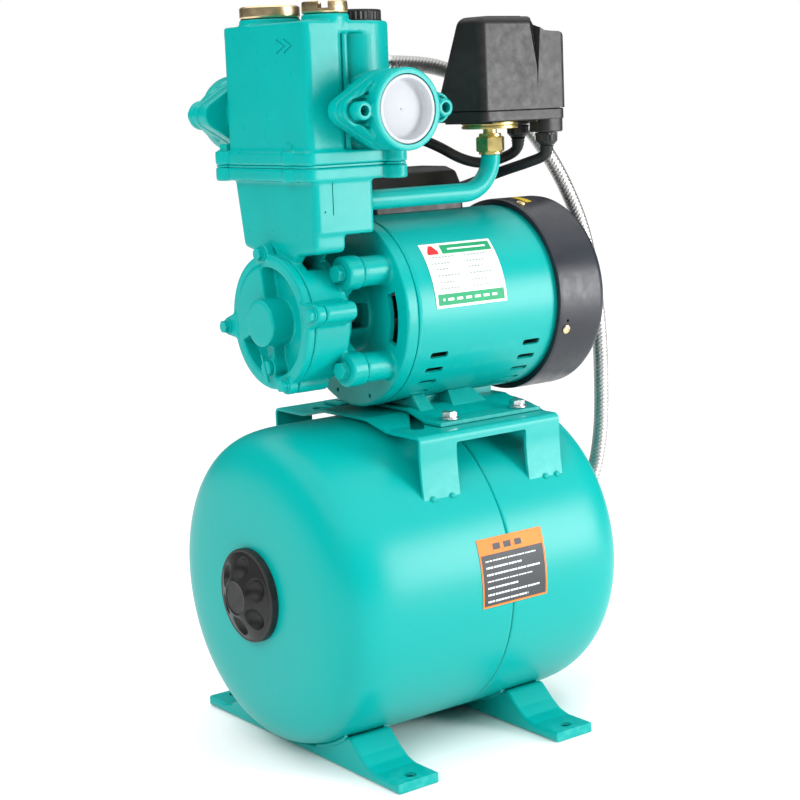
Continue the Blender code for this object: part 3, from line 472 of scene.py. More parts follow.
def turned(profile, at=(0, 0), axis="X", sides=96, soften=0.5, steps=4, squeeze=None):
    """A turned piece from (position, radius) points; it closes on itself off the axis."""
    on_axis = profile[0][1] == 0 and profile[-1][1] == 0
    line = rounded(profile, soften, closed=not on_axis, steps=steps)
    angles = np.arange(sides) * 2 * pi / sides
    rings = []
    for along, radius in line:
        swell = squeeze(angles, along) if squeeze else 1.0
        circle = directions(angles) * radius
        rings.append(oriented(axis, along, circle * np.reshape(swell, (-1, 1)) + at))
    return loft(rings, looped=not on_axis)


def rod(radius, start, end, at=(0, 0), axis="X", edge=0.5, sides=64):
    low, high = sorted((start, end))
    return turned([(low, 0), (low, radius), (high, radius), (high, 0)], at, axis, sides,
                  edge)


def washer(start, end, inner, outer, at, axis="X", sides=48, edge=0.3):
    """A flat ring, or a disc where the inner radius is 0."""
    return turned([(start, inner), (start, outer), (end, outer), (end, inner)], at, axis,
                  sides, edge)


def hexed(flats, root, face, at, axis="X", both=False, turn=0.0):
    """A hexagon head from its root to its face, with the turned chamfer of a real bolt."""
    angles = np.arange(72) * 2 * pi / 72
    flat = flats / 2 / np.cos((angles + radians(turn)) % (pi / 3) - pi / 6)
    corner, sign = flats / sqrt(3), (1 if face > root else -1)
    drop = (corner - 0.47 * flats) * 0.5
    ends = [(face - sign * drop * k / 5, 0.47 * flats + (corner - 0.47 * flats) * k / 5)
            for k in range(6)]
    start = [(root + face - h, r) for h, r in ends] if both else [(root, corner)]
    rings = []
    for along, cone in start + ends[::-1]:
        r = np.minimum(flat, cone)
        ring = np.stack((np.cos(angles) * r, np.sin(angles) * r), axis=1) + at
        rings.append(oriented(axis, along, ring))
    return loft(rings)


def spun(shape, angle):
    """Swing a shape round the shaft; the angle is in degrees."""
    return tilted(shape, angle, "X", (0, *SHAFT))


def tilted(shape, angle, axis, pivot):
    """Turn a shape about an axis through a pivot; the angle is in degrees."""
    place = Matrix.Translation(Vector(pivot) * MM)
    shape.data.transform(place @ Matrix.Rotation(radians(angle), 4, axis)
                         @ place.inverted())
    return shape


def frames(path):
    """Two steady cross directions at each point of a path, and the path's own direction."""
    ahead = np.gradient(path, axis=0)
    ahead /= np.linalg.norm(ahead, axis=1, keepdims=True)
    side = np.cross(ahead[0], (0.0, 0.0, 1.0))
    if np.linalg.norm(side) < 0.1:
        side = np.cross(ahead[0], (0.0, 1.0, 0.0))
    sides = []
    for direction in ahead:
        side = side - direction * np.dot(side, direction)
        side = side / np.linalg.norm(side)
        sides.append(side)
    sides = np.array(sides)
    return sides, np.cross(ahead, sides), ahead


def swept(path, radius, sides=32):
    """A round rod along a path; radius is a number, or one for each point and side."""
    path = np.asarray(path, dtype=float)
    u, v, _ = frames(path)
    angles = np.arange(sides) * 2 * pi / sides
    spokes = (u[:, None] * np.cos(angles)[None, :, None]
              + v[:, None] * np.sin(angles)[None, :, None])
    radius = np.broadcast_to(np.asarray(radius, dtype=float), (len(path), sides))
    return loft(path[:, None] + spokes * radius[:, :, None])


def smooth_route(points, spacing):
    """Evenly spaced points on a smooth curve through the route's points."""
    knots = [Vector(p) for p in points]
    knots = [2 * knots[0] - knots[1]] + knots + [2 * knots[-1] - knots[-2]]
    fine = []
    for a, b, c, d in zip(knots, knots[1:], knots[2:], knots[3:]):
        for k in range(16):
            t = k / 16
            fine.append(0.5 * (2 * b + (c - a) * t + (2 * a - 5 * b + 4 * c - d) * t ** 2
                               + (3 * b - a - 3 * c + d) * t ** 3))
    fine.append(knots[-2])
    fine = np.array(fine)
    lengths = np.concatenate(([0], np.cumsum(np.linalg.norm(np.diff(fine, axis=0),
                                                            axis=1))))
    wanted = np.linspace(0, lengths[-1], max(2, round(lengths[-1] / spacing) + 1))
    route = np.stack([np.interp(wanted, lengths, fine[:, k]) for k in range(3)], axis=1)
    soft = route.copy()
    for _ in range(8):
        soft[1:-1] = (soft[:-2] + 2 * soft[1:-1] + soft[2:]) / 4
    return soft


def length_of(path):
    return float(np.sum(np.linalg.norm(np.diff(path, axis=0), axis=1)))


def sheet_outline(path, thickness, bend=7.0):
    """The section of bent sheet metal whose upper side follows a path."""
    upper = np.array(rounded(path, bend, closed=False, steps=6))
    step = np.gradient(upper, axis=0)
    step /= np.linalg.norm(step, axis=1, keepdims=True)
    under = upper + np.stack((step[:, 1], -step[:, 0]), axis=1) * thickness
    return [tuple(p) for p in upper] + [tuple(p) for p in under[::-1]]


def mirrored(half):
    """A line across the set from its half, listed from the outside to the middle."""
    left = [(-p[0], *p[1:]) for p in half]
    right = list(reversed(half))
    return left + (right[1:] if half[-1][0] == 0 else right)


def present(obj, name, look, node=None, body="base", crease=38):
    """Name a finished piece, give it its finish when one is named, attach it to its body and
    hide the CAD node it takes the place of.
    """
    obj.name = obj.data.name = name
    if isinstance(look, str):
        obj.data.materials.clear()
        obj.data.materials.append(MATERIALS[look])
    obj.data.shade_smooth()
    obj.data.set_sharp_from_angle(angle=radians(crease))
    weight = obj.modifiers.new("Weight", "WEIGHTED_NORMAL")
    weight.keep_sharp = True
    settle(obj)
    obj.data.transform(Matrix.Translation(DRAWING_ZERO * MM))
    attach(obj, body)
    if node:
        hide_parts(node)
    return obj


# ---------------------------------------------------------------- cords

HOSE_RADIUS = 5.9
HOSE_ROUTE = [
    (-9.4, 15, 487), (20, 16, 487), (52, 17, 484), (82, 15, 474), (109, 12, 459),
    (131, 8, 440), (150, 4, 416), (165.5, 0, 388), (178, -4, 355), (186, -7, 315),
    (189.8, -9, 273), (191, -9, 230), (190, -8, 192), (184, -6, 160), (170, -3, 134),
    (156, -0.5, 122.3), (149.5, 0, 120.9), (144.4, 0, 120.8),
]
CABLE_RADIUS = 3.9
LONG_GLAND = (96.0, -24.0)
LONG_ROUTE = [
    (96, -24, 430.2), (96.3, -21.5, 421), (89, -11, 414.8), (76, -3, 412.4),
    (62, 3, 416.5), (47, 8, 425), (33, 13, 431.5), (16, 18, 435), (-1, 21, 432.5),
    (-12, 22, 426.5), (-15.4, 22, 420.6),
]
SHORT_ROUTE = [
    (102, -49, 424.2), (101.4, -47.5, 417), (95, -34, 411.5), (91, -20, 407.5),
    (87, -7, 403.5), (82, 4, 399.5), (76, 12, 396), (69.4, 17, 393.4),
]


def make_hose():
    """The braided inlet hose: eight flat strands of wire each way, woven over and under."""
    strands, pitch, sides = 8, 25.0, 64
    path = smooth_route(HOSE_ROUTE, 0.62)
    along = np.linspace(0, length_of(path), len(path))[:, None]
    around = (np.arange(sides) / sides)[None, :]
    one, two = strands * (around + along / pitch), strands * (around - along / pitch)
    crown_one = 1 - (2 * (one % 1) - 1) ** 4
    crown_two = 1 - (2 * (two % 1) - 1) ** 4
    over = np.sin(pi * one) * np.sin(pi * two)
    weave = np.maximum(crown_one * (0.5 + 0.5 * over), crown_two * (0.5 - 0.5 * over))
    hose = swept(path, HOSE_RADIUS - 0.25 + 0.55 * (weave - 0.45), sides)
    # The weave height is kept on the mesh for the braid finish, which paints shade into the
    # low places.
    weave_shade_mark = hose.data.attributes.new("weave", "FLOAT", "POINT")
    weave_shade_mark.data.foreach_set("value", weave.ravel()[:len(hose.data.vertices)])
    hose.data.materials.clear()
    present(hose, "hose_braid", "braid", "braided_hose", crease=80)

    x, y, z = HOSE_ROUTE[0]
    nut_low, nut_high = span("hose_nut_upper")
    ferrule = turned([(x + 0.4, 3), (x + 0.4, 7.4), (x + 3, 7.4), (x + 4, 6.7),
                      (x + 12.5, 6.7), (x + 13.5, 7.2), (x + 16, 7.2), (x + 16, 3)],
                     (y, z), "X", 64, 0.4)
    upper_ferrule = present(ferrule, "hose_ferrule_upper", "steel")
    nut = gather(hexed(19, nut_low.x, nut_high.x - 3, (y, z), both=True, turn=30),
                 turned([(nut_high.x - 3.2, 4), (nut_high.x - 3.2, 8.6),
                         (nut_high.x, 8.2), (nut_high.x, 4)], (y, z), "X", 64, 0.5))
    upper_nut = present(nut, "hose_nut_upper_hex", "zinc", "hose_nut_upper")

    x, y, z = HOSE_ROUTE[-1]
    nut_low, nut_high = span("hose_nut_lower")
    ferrule = turned([(x - 0.4, 3), (x - 0.4, 7.4), (x + 2.2, 7.4), (x + 3.2, 6.7),
                      (x + 9.6, 6.7), (x + 10.4, 7.1), (x + 12, 7.1), (x + 12, 3)],
                     (y, z), "X", 64, 0.4)
    lower_ferrule = present(ferrule, "hose_ferrule_lower", "steel")
    nut = hexed(19, nut_low.x, nut_high.x, (y, z), both=True, turn=30)
    lower_nut = present(nut, "hose_nut_lower_hex", "zinc", "hose_nut_lower")


def make_cable(name, route, node, gland_node):
    """A sheathed cable that leaves its gland through a tapered, ribbed sleeve."""
    path = smooth_route(route, 1.2)
    along = np.linspace(0, length_of(path), len(path))[:, None]
    flare = 1.5 * np.clip(1 - along / 9.0, 0, 1) * (0.8 + 0.2 * np.cos(along * 2.6))
    cable = swept(path, CABLE_RADIUS + np.where(along < 9, flare, 0) * np.ones((1, 32)), 32)
    present(cable, name, "rubber", node, crease=60)

    place, top = (route[0][0], route[0][1]), span(gland_node)[1].z

    def ribs(angles, height):
        wave = 1 + 0.02 * np.sign(np.sin(angles * 16))
        return wave if top - 6.4 < height < top - 1.6 else np.ones(len(angles))

    gland = gather(
        turned([(top, 0), (top, 8), (top - 1.5, 8), (top - 1.7, 7.9), (top - 2.2, 7.9),
                (top - 6.2, 7.8), (top - 7.4, 7.0), (top - 9.2, 5.4), (top - 9.2, 0)],
               place, "Z", 96, 0.3, squeeze=ribs),
        hexed(15, top - 0.2, top - 2.4, place, "Z"))
    present(gland, f"{gland_node}_nut", "black_plastic", gland_node)


make_hose()
make_cable("cable_long_sheath", LONG_ROUTE, "long_cable", "switch_gland_long")
make_cable("cable_short_sheath", SHORT_ROUTE, "short_cable", "switch_gland_short")

# ---------------------------------------------------------------- tank, feet and bracket

TANK_RADIUS = 115.0
HEAD_DEPTH = 77.0
HEAD_POWER = 5.7
TANK_SEAM_X = 3.3
STRAIGHT = (-64.0, 44.5)
SHEET = 2.5


def head_line(depth, radius, hole, steps=40):
    power = 2 / HEAD_POWER
    line = [(depth * cos(a) ** power, radius * sin(a) ** power)
            for a in (pi / 2 * (1 - k / steps) for k in range(1, steps))]
    line = [p for p in line if p[1] > hole + 0.5]
    return line + [(depth * (1 - (hole / radius) ** HEAD_POWER) ** (power / 2), hole)]


def make_tank():
    """Two pressed shells with a rolled seam between them and a hole in each head."""
    for node, wall_end, side, hole in (("tank_front_shell", STRAIGHT[0], -1, 6.0),
                                       ("tank_rear_shell", STRAIGHT[1], 1, 24.0)):
        seam = TANK_SEAM_X + side * 0.15
        outer = [(wall_end + side * d, r) for d, r in head_line(HEAD_DEPTH, TANK_RADIUS,
                                                               hole)]
        inner = [(wall_end + side * d, r) for d, r in head_line(HEAD_DEPTH - 2,
                                                               TANK_RADIUS - 2, hole)]
        lip = [(seam, 114.1), (seam + side * 0.5, 114.7), (seam + side * 1.4, 115.1),
               (seam + side * 3.5, TANK_RADIUS), (wall_end, TANK_RADIUS)]
        profile = lip + outer + inner[::-1] + [(wall_end, 113), (seam, 113)]
        shell = turned(profile, (0, TANK_Z), "X", 200, 0)
        present(shell, f"{node}_skin", "teal_paint", node, crease=50)


def make_tank_cap():
    """The cap over the air valve: a raised boss amid six finger scoops."""
    low, high = span("tank_valve_cap")
    back, radius, thick = high.x, 33.5, high.x - low.x
    r = np.concatenate((np.linspace(0.001, 32.4, 130), np.linspace(32.6, radius, 8)))
    a = np.arange(240) * 2 * pi / 240
    fall = np.interp(r, (0, 11.2, 11.8, 12.6, 13.6, 30.2, 31.2),
                     (thick - 0.5, thick - 0.5, thick, thick, thick - 0.9, 6.0, 5.3))
    fall = np.convolve(np.pad(fall, 2, "edge"), np.ones(5) / 5, "valid")
    rr, aa = np.meshgrid(r, a, indexing="ij")
    height = np.repeat(fall[:, None], len(a), axis=1)
    for k in range(6):
        b = radians(36 + 60 * k)
        gap = (rr * np.cos(aa) - 23 * cos(b)) ** 2 + (rr * np.sin(aa) - 23 * sin(b)) ** 2
        ball = 13.6 - np.sqrt(np.maximum(84.6 - gap, 0))
        height = -np.logaddexp(-height * 4, -np.where(gap < 84, ball, 99) * 4) / 4
    rim = np.clip((rr - (radius - 1.6)) / 1.6, 0, 1)
    edge = 5.6 - 1.6 * (1 - np.sqrt(1 - rim ** 2))
    height = np.where(rim > 0, np.minimum(height, edge), height)
    face = np.stack((back - height, rr * np.cos(aa), rr * np.sin(aa) + TANK_Z), axis=2)
    wall = [oriented("X", back, directions(a) * q + (0, TANK_Z)) for q in (radius, 8.0)]
    back_hole = oriented("X", back - 3.6, directions(a) * 7.5 + (0, TANK_Z))
    present(loft(np.concatenate((face, [wall[0], wall[1], back_hole]))), "valve_cap_scooped",
            "black_plastic", "tank_valve_cap", crease=50)


def make_tank_flange():
    low, high = span("tank_flange")
    face = low.x + 11.8
    plate = turned([(low.x, 8), (low.x, 18), (face, 18), (face, 33), (face + 4, 33),
                    (face + 4, 15.5), (face + 5, 13), (high.x, 13), (high.x, 8)],
                   (0, TANK_Z), "X", 120, 0.8)
    bolts = [hexed(8, face + 3.8, face + 8, (26 * cos(a), TANK_Z + 26 * sin(a)))
             for a in (radians(30 + 60 * k) for k in range(6))]
    present(gather(plate, *bolts), "rear_flange_turned", "zinc", "tank_flange")


def foot_path(drop=0.0):
    half = [(122.4, 7), (97, 7), (88, 9.5), (80, 15), (68, 25.6)]
    cradle = TANK_RADIUS + 0.3
    half += [(y, TANK_Z - sqrt(cradle ** 2 - y ** 2), 0) for y in range(62, -1, -3)]
    half.append((0, TANK_Z - cradle, 0))
    return mirrored([(y, z - drop, *rest) for y, z, *rest in half])


def make_feet():
    """Pressed channels: a saddle under the tank falling to a bolted pad at each side."""
    for node in ("foot_front", "foot_rear"):
        low, high = span(node)
        top = foot_path()
        shell = [(-122.4, 0)] + rounded(top, 9, closed=False) + [(122.4, 0)]
        outer = prism(shell, "X", low.x, high.x, 2.4, 5)
        under = rounded(foot_path(SHEET), 8, closed=False)
        under = [(y, z) for y, z in under if abs(y) < 119.5]
        hollow = [(-119.9, -6)] + [(-119.9, 4.5)] + under + [(119.9, 4.5), (119.9, -6)]
        inner = prism(hollow, "X", low.x + SHEET, high.x - SHEET, 0.6, 2)
        foot = cut(outer, inner)
        x = (low.x + high.x) / 2
        holes = [rod(4.5, -2, 14, (x, y), "Z", 0) for y in (-112.6, 112.6)]
        foot = cut(foot, *holes)
        beads = []
        for edge in (low.x + 0.6, high.x - 0.6):
            for side in (-1, 1):
                turn = np.linspace(radians(-33), radians(-14), 60)
                y = side * (TANK_RADIUS + 0.4) * np.sin(-turn)
                z = TANK_Z - (TANK_RADIUS + 0.4) * np.cos(turn)
                line = np.stack((np.full(60, edge), y, z), axis=1)
                lumps = 1.7 + 0.35 * np.abs(np.sin(np.arange(60) * 0.9))
                beads.append(swept(line, lumps[:, None] * np.ones((1, 14)), 14))
        present(gather(foot, *beads), f"{node}_pressing", "teal_paint", node, crease=45)


def make_bracket():
    """The arched plate on the tank: four legs with welded ends, and a raised middle."""
    low, high = span("pump_bracket")
    half = [(92.8, 188), (91.2, 200, 80), (90, 214, 80), (90, 233, 5), (52, 233), (28, 239)]
    plate = prism(sheet_outline(mirrored(half), SHEET, 9), "X", low.x, high.x, 0.9, 4)
    left, right = low.x + 32.5, high.x - 32.5
    window = prism(rectangle(left, right, 160, 225.5, 2.2), "Y", -130, 130, 0, 1)
    plate = cut(plate, window)
    slots = [prism(hull([(-36, 61 * side, 5), (-15, 32 * side, 5)]), "Z", 225, 245, 0, 1)
             for side in (-1, 1)]
    holes = [rod(3.4, 225, 240, at, "Z", 0) for at in FOOT_BOLTS]
    plate = cut(plate, *slots, *holes)
    welds = []
    for side in (-1, 1):
        for x in (low.x + 8, low.x + 25, right + 15, right + 26):
            bead = turned([(-1.5, 0), (-1.5, 2.2), (0.4, 2.2), (1.4, 1.2), (1.7, 0)], (0, 0),
                          "Y", 24, 0.8)
            bead.data.transform(Matrix.Translation(Vector((x, side * 93.2, 189)) * MM)
                                @ Matrix.Rotation(pi * (side < 0), 4, "Z"))
            welds.append(bead)
    present(gather(plate, *welds), "bracket_pressing", "teal_paint", "pump_bracket",
            crease=40)


def make_motor_foot():
    """The pressed cradle under the motor, its flanks opened between two webs."""
    low, high = span("motor_foot")
    half = [(72, 236), (54, 236), (33, 242.2), (0, 242.2)]
    strip = prism(sheet_outline(mirrored(half), SHEET, 8), "X", low.x, high.x, 0.8, 4)
    strip = cut(strip, *[rod(3.4, 230, 240, at, "Z", 0) for at in FOOT_BOLTS])
    saddle = prism([(-43, 237), (43, 237), (27, 254), (-27, 254)], "X", -17, 64, 1.2)
    saddle = cut(saddle, rod(MOTOR_RADIUS + 0.3, -60, 120, SHAFT, "X", 0, 128))
    for side in (-1, 1):
        near, far = sorted((side * 23, side * 60))
        saddle = cut(saddle,
                     prism([(-4, 238.6), (13, 238.6), (20, 262), (-7, 262)], "Y", near, far,
                           0, 1),
                     prism([(46, 238.6), (70, 238.6), (70, 262), (30, 262)], "Y", near - 0.1,
                           far, 0, 1))
    present(gather(strip, saddle), "motor_foot_pressing", "teal_paint", "motor_foot")
    for k, at in enumerate(FOOT_BOLTS):
        bolt = gather(
            rod(3.0, 223, 239, at, "Z", 0.5, 32),
            washer(236.3, 237.8, 2.5, 7, at, "Z", edge=0.4),
            turned([(237.7, 0), (237.7, 5.6), (238.9, 5.4), (239, 0)], at, "Z", 48, 0.3),
            hexed(10, 238.4, 242, at, "Z", turn=17 * k),
            hexed(10, 230, 225, at, "Z", both=True, turn=11 * k))
        present(bolt, f"foot_bolt_{k + 1}_set", "zinc", f"foot_bolt_{k + 1}")


# ---------------------------------------------------------------- motor

MOTOR_RADIUS = 68.3
FAN_RADIUS = 72.8
VENT_ANGLES = (-69.0, -58.0, -47.0, -36.0, -25.0)
VENT_GROUPS_X = (-15.0, 71.0)


def make_motor_shell():
    low, high = span("motor_shell")
    profile = [(low.x, 66.3), (low.x, 68.5), (low.x + 1.6, 68.9, 0.8),
               (low.x + 2.8, MOTOR_RADIUS), (high.x, MOTOR_RADIUS), (high.x, 66.3)]
    shell = turned(profile, SHAFT, "X", 200, 0.5)
    slots = []
    for x in VENT_GROUPS_X:
        for angle in VENT_ANGLES:
            for side in (-1, 1):
                outline = rectangle(x - 8, x + 8, -2.4 + AXIS_Z, 2.4 + AXIS_Z, 2.3, 6)
                slot = prism(outline, "Y", *sorted((side * 60, side * 80)), 0, 1)
                slots.append(spun(slot, side * angle))
    present(cut(shell, *slots), "motor_shell_vented", "teal_paint", "motor_shell",
            crease=40)


def printed_patch(name, x_span, angles, radius, centre_z, ink, slot, cells):
    """A thin sticker on a round shell, its plain bars and borders set by ink(u, v)."""
    across, up = cells
    colours = sorted({ink((i + 0.5) / across, (j + 0.5) / up)
                      for i in range(across) for j in range(up)})
    bm = bmesh.new()
    layers = []
    for lift in (0.05, 0.4):
        rows = []
        for i in range(across + 1):
            x = x_span[0] + (x_span[1] - x_span[0]) * i / across
            row = []
            for j in range(up + 1):
                a = radians(angles[0] + (angles[1] - angles[0]) * j / up)
                reach = radius + lift
                row.append(bm.verts.new(Vector((x, -reach * cos(a),
                                                centre_z + reach * sin(a))) * MM))
            rows.append(row)
        layers.append(rows)
    for rows in layers:
        for i in range(across):
            for j in range(up):
                face = bm.faces.new((rows[i][j], rows[i + 1][j], rows[i + 1][j + 1],
                                     rows[i][j + 1]))
                face.material_index = colours.index(ink((i + 0.5) / across,
                                                        (j + 0.5) / up))
    under, upper = layers
    border = ([(i, 0) for i in range(across)] + [(across, j) for j in range(up)]
              + [(i, up) for i in range(across, 0, -1)] + [(0, j) for j in range(up, 0, -1)])
    for (i, j), (m, n) in zip(border, border[1:] + border[:1]):
        bm.faces.new((under[i][j], under[m][n], upper[m][n], upper[i][j]))
    patch = from_bmesh(bm)
    for colour in colours:
        patch.data.materials.append(INKS[colour])
    return present(patch, name, (slot,))


def rating_plate_ink(u, v):
    """A white card: a green heading beside a red block, grey rows and a green foot."""
    if u < 0.03 or u > 0.97 or v < 0.04 or v > 0.96:
        return "white"
    if v > 0.81:
        if u > 0.27:
            return "white" if 0.36 < u < 0.90 and 0.87 < v < 0.90 else "green"
        block = 0.07 < u < 0.22 and abs(u - 0.145) < 0.09 - (v - 0.83) / 2
        return "red" if block else "white"
    if v < 0.20:
        dash = 0.10 < v < 0.14 and 0.10 < u < 0.86 and int(u * 24) % 3
        return "white" if dash else "green"
    row = (v - 0.22) / 0.58 * 6
    if 0 < row and row % 1 < 0.09 and 0.05 < u < 0.95:
        return "pale"
    ends = (0.36, 0.30, 0.40, 0.27, 0.34, 0.42)
    wide = ends[int(max(row, 0)) % 6]
    inside = 0 < row and 0.42 < row % 1 < 0.70
    if inside and (0.07 < u < wide or 0.54 < u < 0.50 + wide * 0.9):
        return "grey" if int(u * 90) % 4 else "white"
    return "white"


def tank_label_ink(u, v):
    """An orange frame and heading round a dark field with plain white bars."""
    if u < 0.025 or u > 0.975 or v < 0.03 or v > 0.97:
        return "orange"
    if v > 0.76:
        if 0.17 < u < 0.72 and 0.82 < v < 0.91 and int(u * 18) % 3:
            return "dark"
        return "orange"
    row = (0.72 - v) / 0.68 * 7
    ends = (0.86, 0.62, 0.90, 0.78, 0.55, 0.88, 0.70)
    if 0 < row < 7 and 0.35 < row % 1 < 0.62 and 0.08 < u < ends[int(row)]:
        return "white" if int(u * 110) % 5 else "dark"
    return "dark"


def make_labels():
    printed_patch("rating_plate", (-21, 43.5), (4.0, 44.8), MOTOR_RADIUS, AXIS_Z,
                  rating_plate_ink, "aluminium", (160, 110))
    printed_patch("tank_label", (-25.3, 34), (-5.3, 19.0), TANK_RADIUS, TANK_Z,
                  tank_label_ink, "port_plastic", (140, 110))
    printed_patch("fan_cover_tag", (105, 111), (74, 87), FAN_RADIUS, AXIS_Z,
                  lambda u, v: "yellow", "port_plastic", (6, 12))


def make_fan_cover():
    start, end = 91.0, 137.0
    inner = MOTOR_RADIUS + 0.5
    profile = [(end, 0), (end, 17.5, 1), (end - 0.8, 19, 1), (end - 0.8, 58.6, 1),
               (end, 60, 1.5), (end, FAN_RADIUS, 9), (start + 3, FAN_RADIUS, 1),
               (start, FAN_RADIUS - 0.3, 0.8), (start, inner), (end - 2.4, inner - 0.2, 7),
               (end - 2.4, 0)]
    cover = turned(profile, SHAFT, "X", 200, 0.5)
    slots = []
    for k in range(12):
        outline = rectangle(22 + AXIS_Z, 56 + AXIS_Z, -4, 4, 3.9, 6)
        slot = prism([(y, z) for z, y in outline], "X", end - 7, end + 4, 0, 1)
        slots.append(spun(slot, 30 * k + 9))
    holes = [spun(rod(1.1, -80, -60, (99.5, AXIS_Z + 0.2), "Y", 0, 20), 90 * k + 12.5)
             for k in range(4)]
    present(cut(cover, *slots, *holes), "fan_cover_moulded", "black_gloss", "fan_cover",
            crease=40)
    for k in range(4):
        head = turned([(-69, 0), (-69, 1.9), (-72.7, 1.9), (-72.7, 3.4), (-73.6, 3.4, 0.5),
                       (-74.2, 2.4, 0.8), (-74.4, 0)], (99, AXIS_Z), "Y", 40, 0.2)
        head = cut(head, slab((97.2, -75.2, AXIS_Z - 0.4), (100.8, -73.5, AXIS_Z + 0.4), 0))
        head = cut(head, slab((98.6, -75.2, AXIS_Z - 1.8), (99.4, -73.5, AXIS_Z + 1.8), 0))
        present(spun(head, 90 * k + 17.6), f"fan_cover_screw_{k + 1}", "brass")


def make_fan():
    low, high = span("cooling_fan")
    hub = turned([(low.x, 6.3), (low.x, 13), (low.x + 1, 14), (low.x + 1, 30),
                  (low.x + 3, 30), (low.x + 3, 14.5), (low.x + 5, 13), (high.x, 12.4),
                  (high.x, 6.3)], SHAFT, "X", 96, 0.6)
    blades = []
    for k in range(8):
        outline = rounded([(9.5, -1.1), (57, -0.7), (57, 0.7), (9.5, 1.1)], 0.5)
        blade = prism([(u, v + AXIS_Z) for u, v in outline], "X", low.x + 1.6,
                      high.x - 0.6, 0.5, 3)
        blades.append(spun(blade, 45 * k + 9))
    present(gather(hub, *blades), "cooling_fan_moulded", "black_plastic", "cooling_fan",
            "rotor")


def make_front_bracket():
    """The casting between pump and motor: a disc, a windowed tube and four stand-offs."""
    high = span("front_bracket")[1]
    start = -36.7
    body = turned([(-70, 18), (-70, 24), (-50.5, 24, 3), (-46.5, 27, 3), (-46.5, 68.4),
                   (start, 68.4), (start, 66), (high.x, 66), (high.x, 62), (-42.8, 60),
                   (-42.8, 24), (high.x, 22), (high.x, 17.8), (-45.3, 17.8), (-45.3, 9),
                   (-48, 9), (-48, 18)], SHAFT, "X", 160, 0.4)
    posts = [rod(10.5, -70, -44, at, "X", 0.4) for at in STANDOFFS]
    casting = cast([body] + posts, 0.9, 4)
    window = prism(rectangle(-67.8, -48.6, AXIS_Z - 9, AXIS_Z + 9, 1.6), "Y", -60, 60, 0, 1)
    holes = [rod(3.4, -75, -55, at, "X", 0, 32) for at in STANDOFFS]
    casting = cut(casting, window, *holes)
    vents = []
    for middle_angle in (1.0, 179.0):
        ring = (arc(SHAFT, 57, 160 + middle_angle, 200 + middle_angle, 20)
                + arc(SHAFT, 47.5, 200 + middle_angle, 160 + middle_angle, 20))
        vents.append(prism(ring, "X", -56, -30, 0, 1))
    pins = [rod(1.6, -50, -42, (y, AXIS_Z + z), "X", 0, 20)
            for y in (-19.8, 19.8) for z in (-58.6, 58.6)]
    present(cut(casting, *vents, *pins), "front_bracket_cast", "teal_casting",
            "front_bracket")


def make_terminal_box():
    """The moulded box on the motor, with its two cable entries and lid screws."""
    outline = rounded([(50, 330, 0), (50, 405, 5), (44, 411, 5), (14, 411, 5), (4, 408, 5),
                       (-3, 396, 6), (-5, 330, 0)], 4)
    shell = prism(outline, "X", -25, 60, 4.5, 6)
    hollow = prism([(47.5, 320), (47.5, 404), (43, 408.5), (15, 408.5), (5.5, 406),
                    (-0.5, 395), (-2.5, 320)], "X", -22.5, 57.5, 2, 3)
    shell = cut(shell, hollow)
    shell = cut(shell, rod(MOTOR_RADIUS + 0.3, -60, 120, SHAFT, "X", 0, 160))
    groove = prism([(60, 386.5), (-20, 386.5), (-20, 385.7), (60, 385.7)], "X", 59.4, 62, 0,
                   1)
    shell = cut(shell, groove)
    entry = turned([(407, 0), (407, 7.4), (411.5, 7.4), (412.5, 6.6), (417.8, 5.4),
                    (417.8, 0)], (-15.8, 22), "Z", 64, 0.6)
    side = turned([(58, 0), (58, 7.4), (62, 7.4), (63, 6.6), (67.6, 5.4), (67.6, 0)],
                  (18, 393), "X", 64, 0.6)
    screws = [washer(-26.4, -24, 0, 2.6, at, "X", 32, 0.6)
              for at in ((8, 396), (44, 396))]
    present(gather(shell, entry, side, *screws), "terminal_box_moulded",
            "black_plastic", "terminal_box", crease=45)


make_tank()
make_tank_cap()
make_tank_flange()
make_feet()
make_bracket()
make_motor_foot()
make_motor_shell()
make_labels()
make_fan_cover()
make_fan()
make_front_bracket()
make_terminal_box()

# ---------------------------------------------------------------- pump head


def ear(bolt, start, end, swell=6.6):
    """A lug for a cover bolt, blended into the round head by straight flanks."""
    outline = hull([(0.55 * bolt[0], 0.55 * bolt[1], 12), (*bolt, swell)], 64)
    return prism([(y, AXIS_Z + z) for y, z in outline], "X", start, end, 0.6, 2)


def web_block(low_x, high_x, angle):
    """A flat arm across the round hub, turned round the shaft."""
    return spun(slab((low_x, -50, AXIS_Z - 8), (high_x, 50, AXIS_Z + 8), 1, 1), angle)


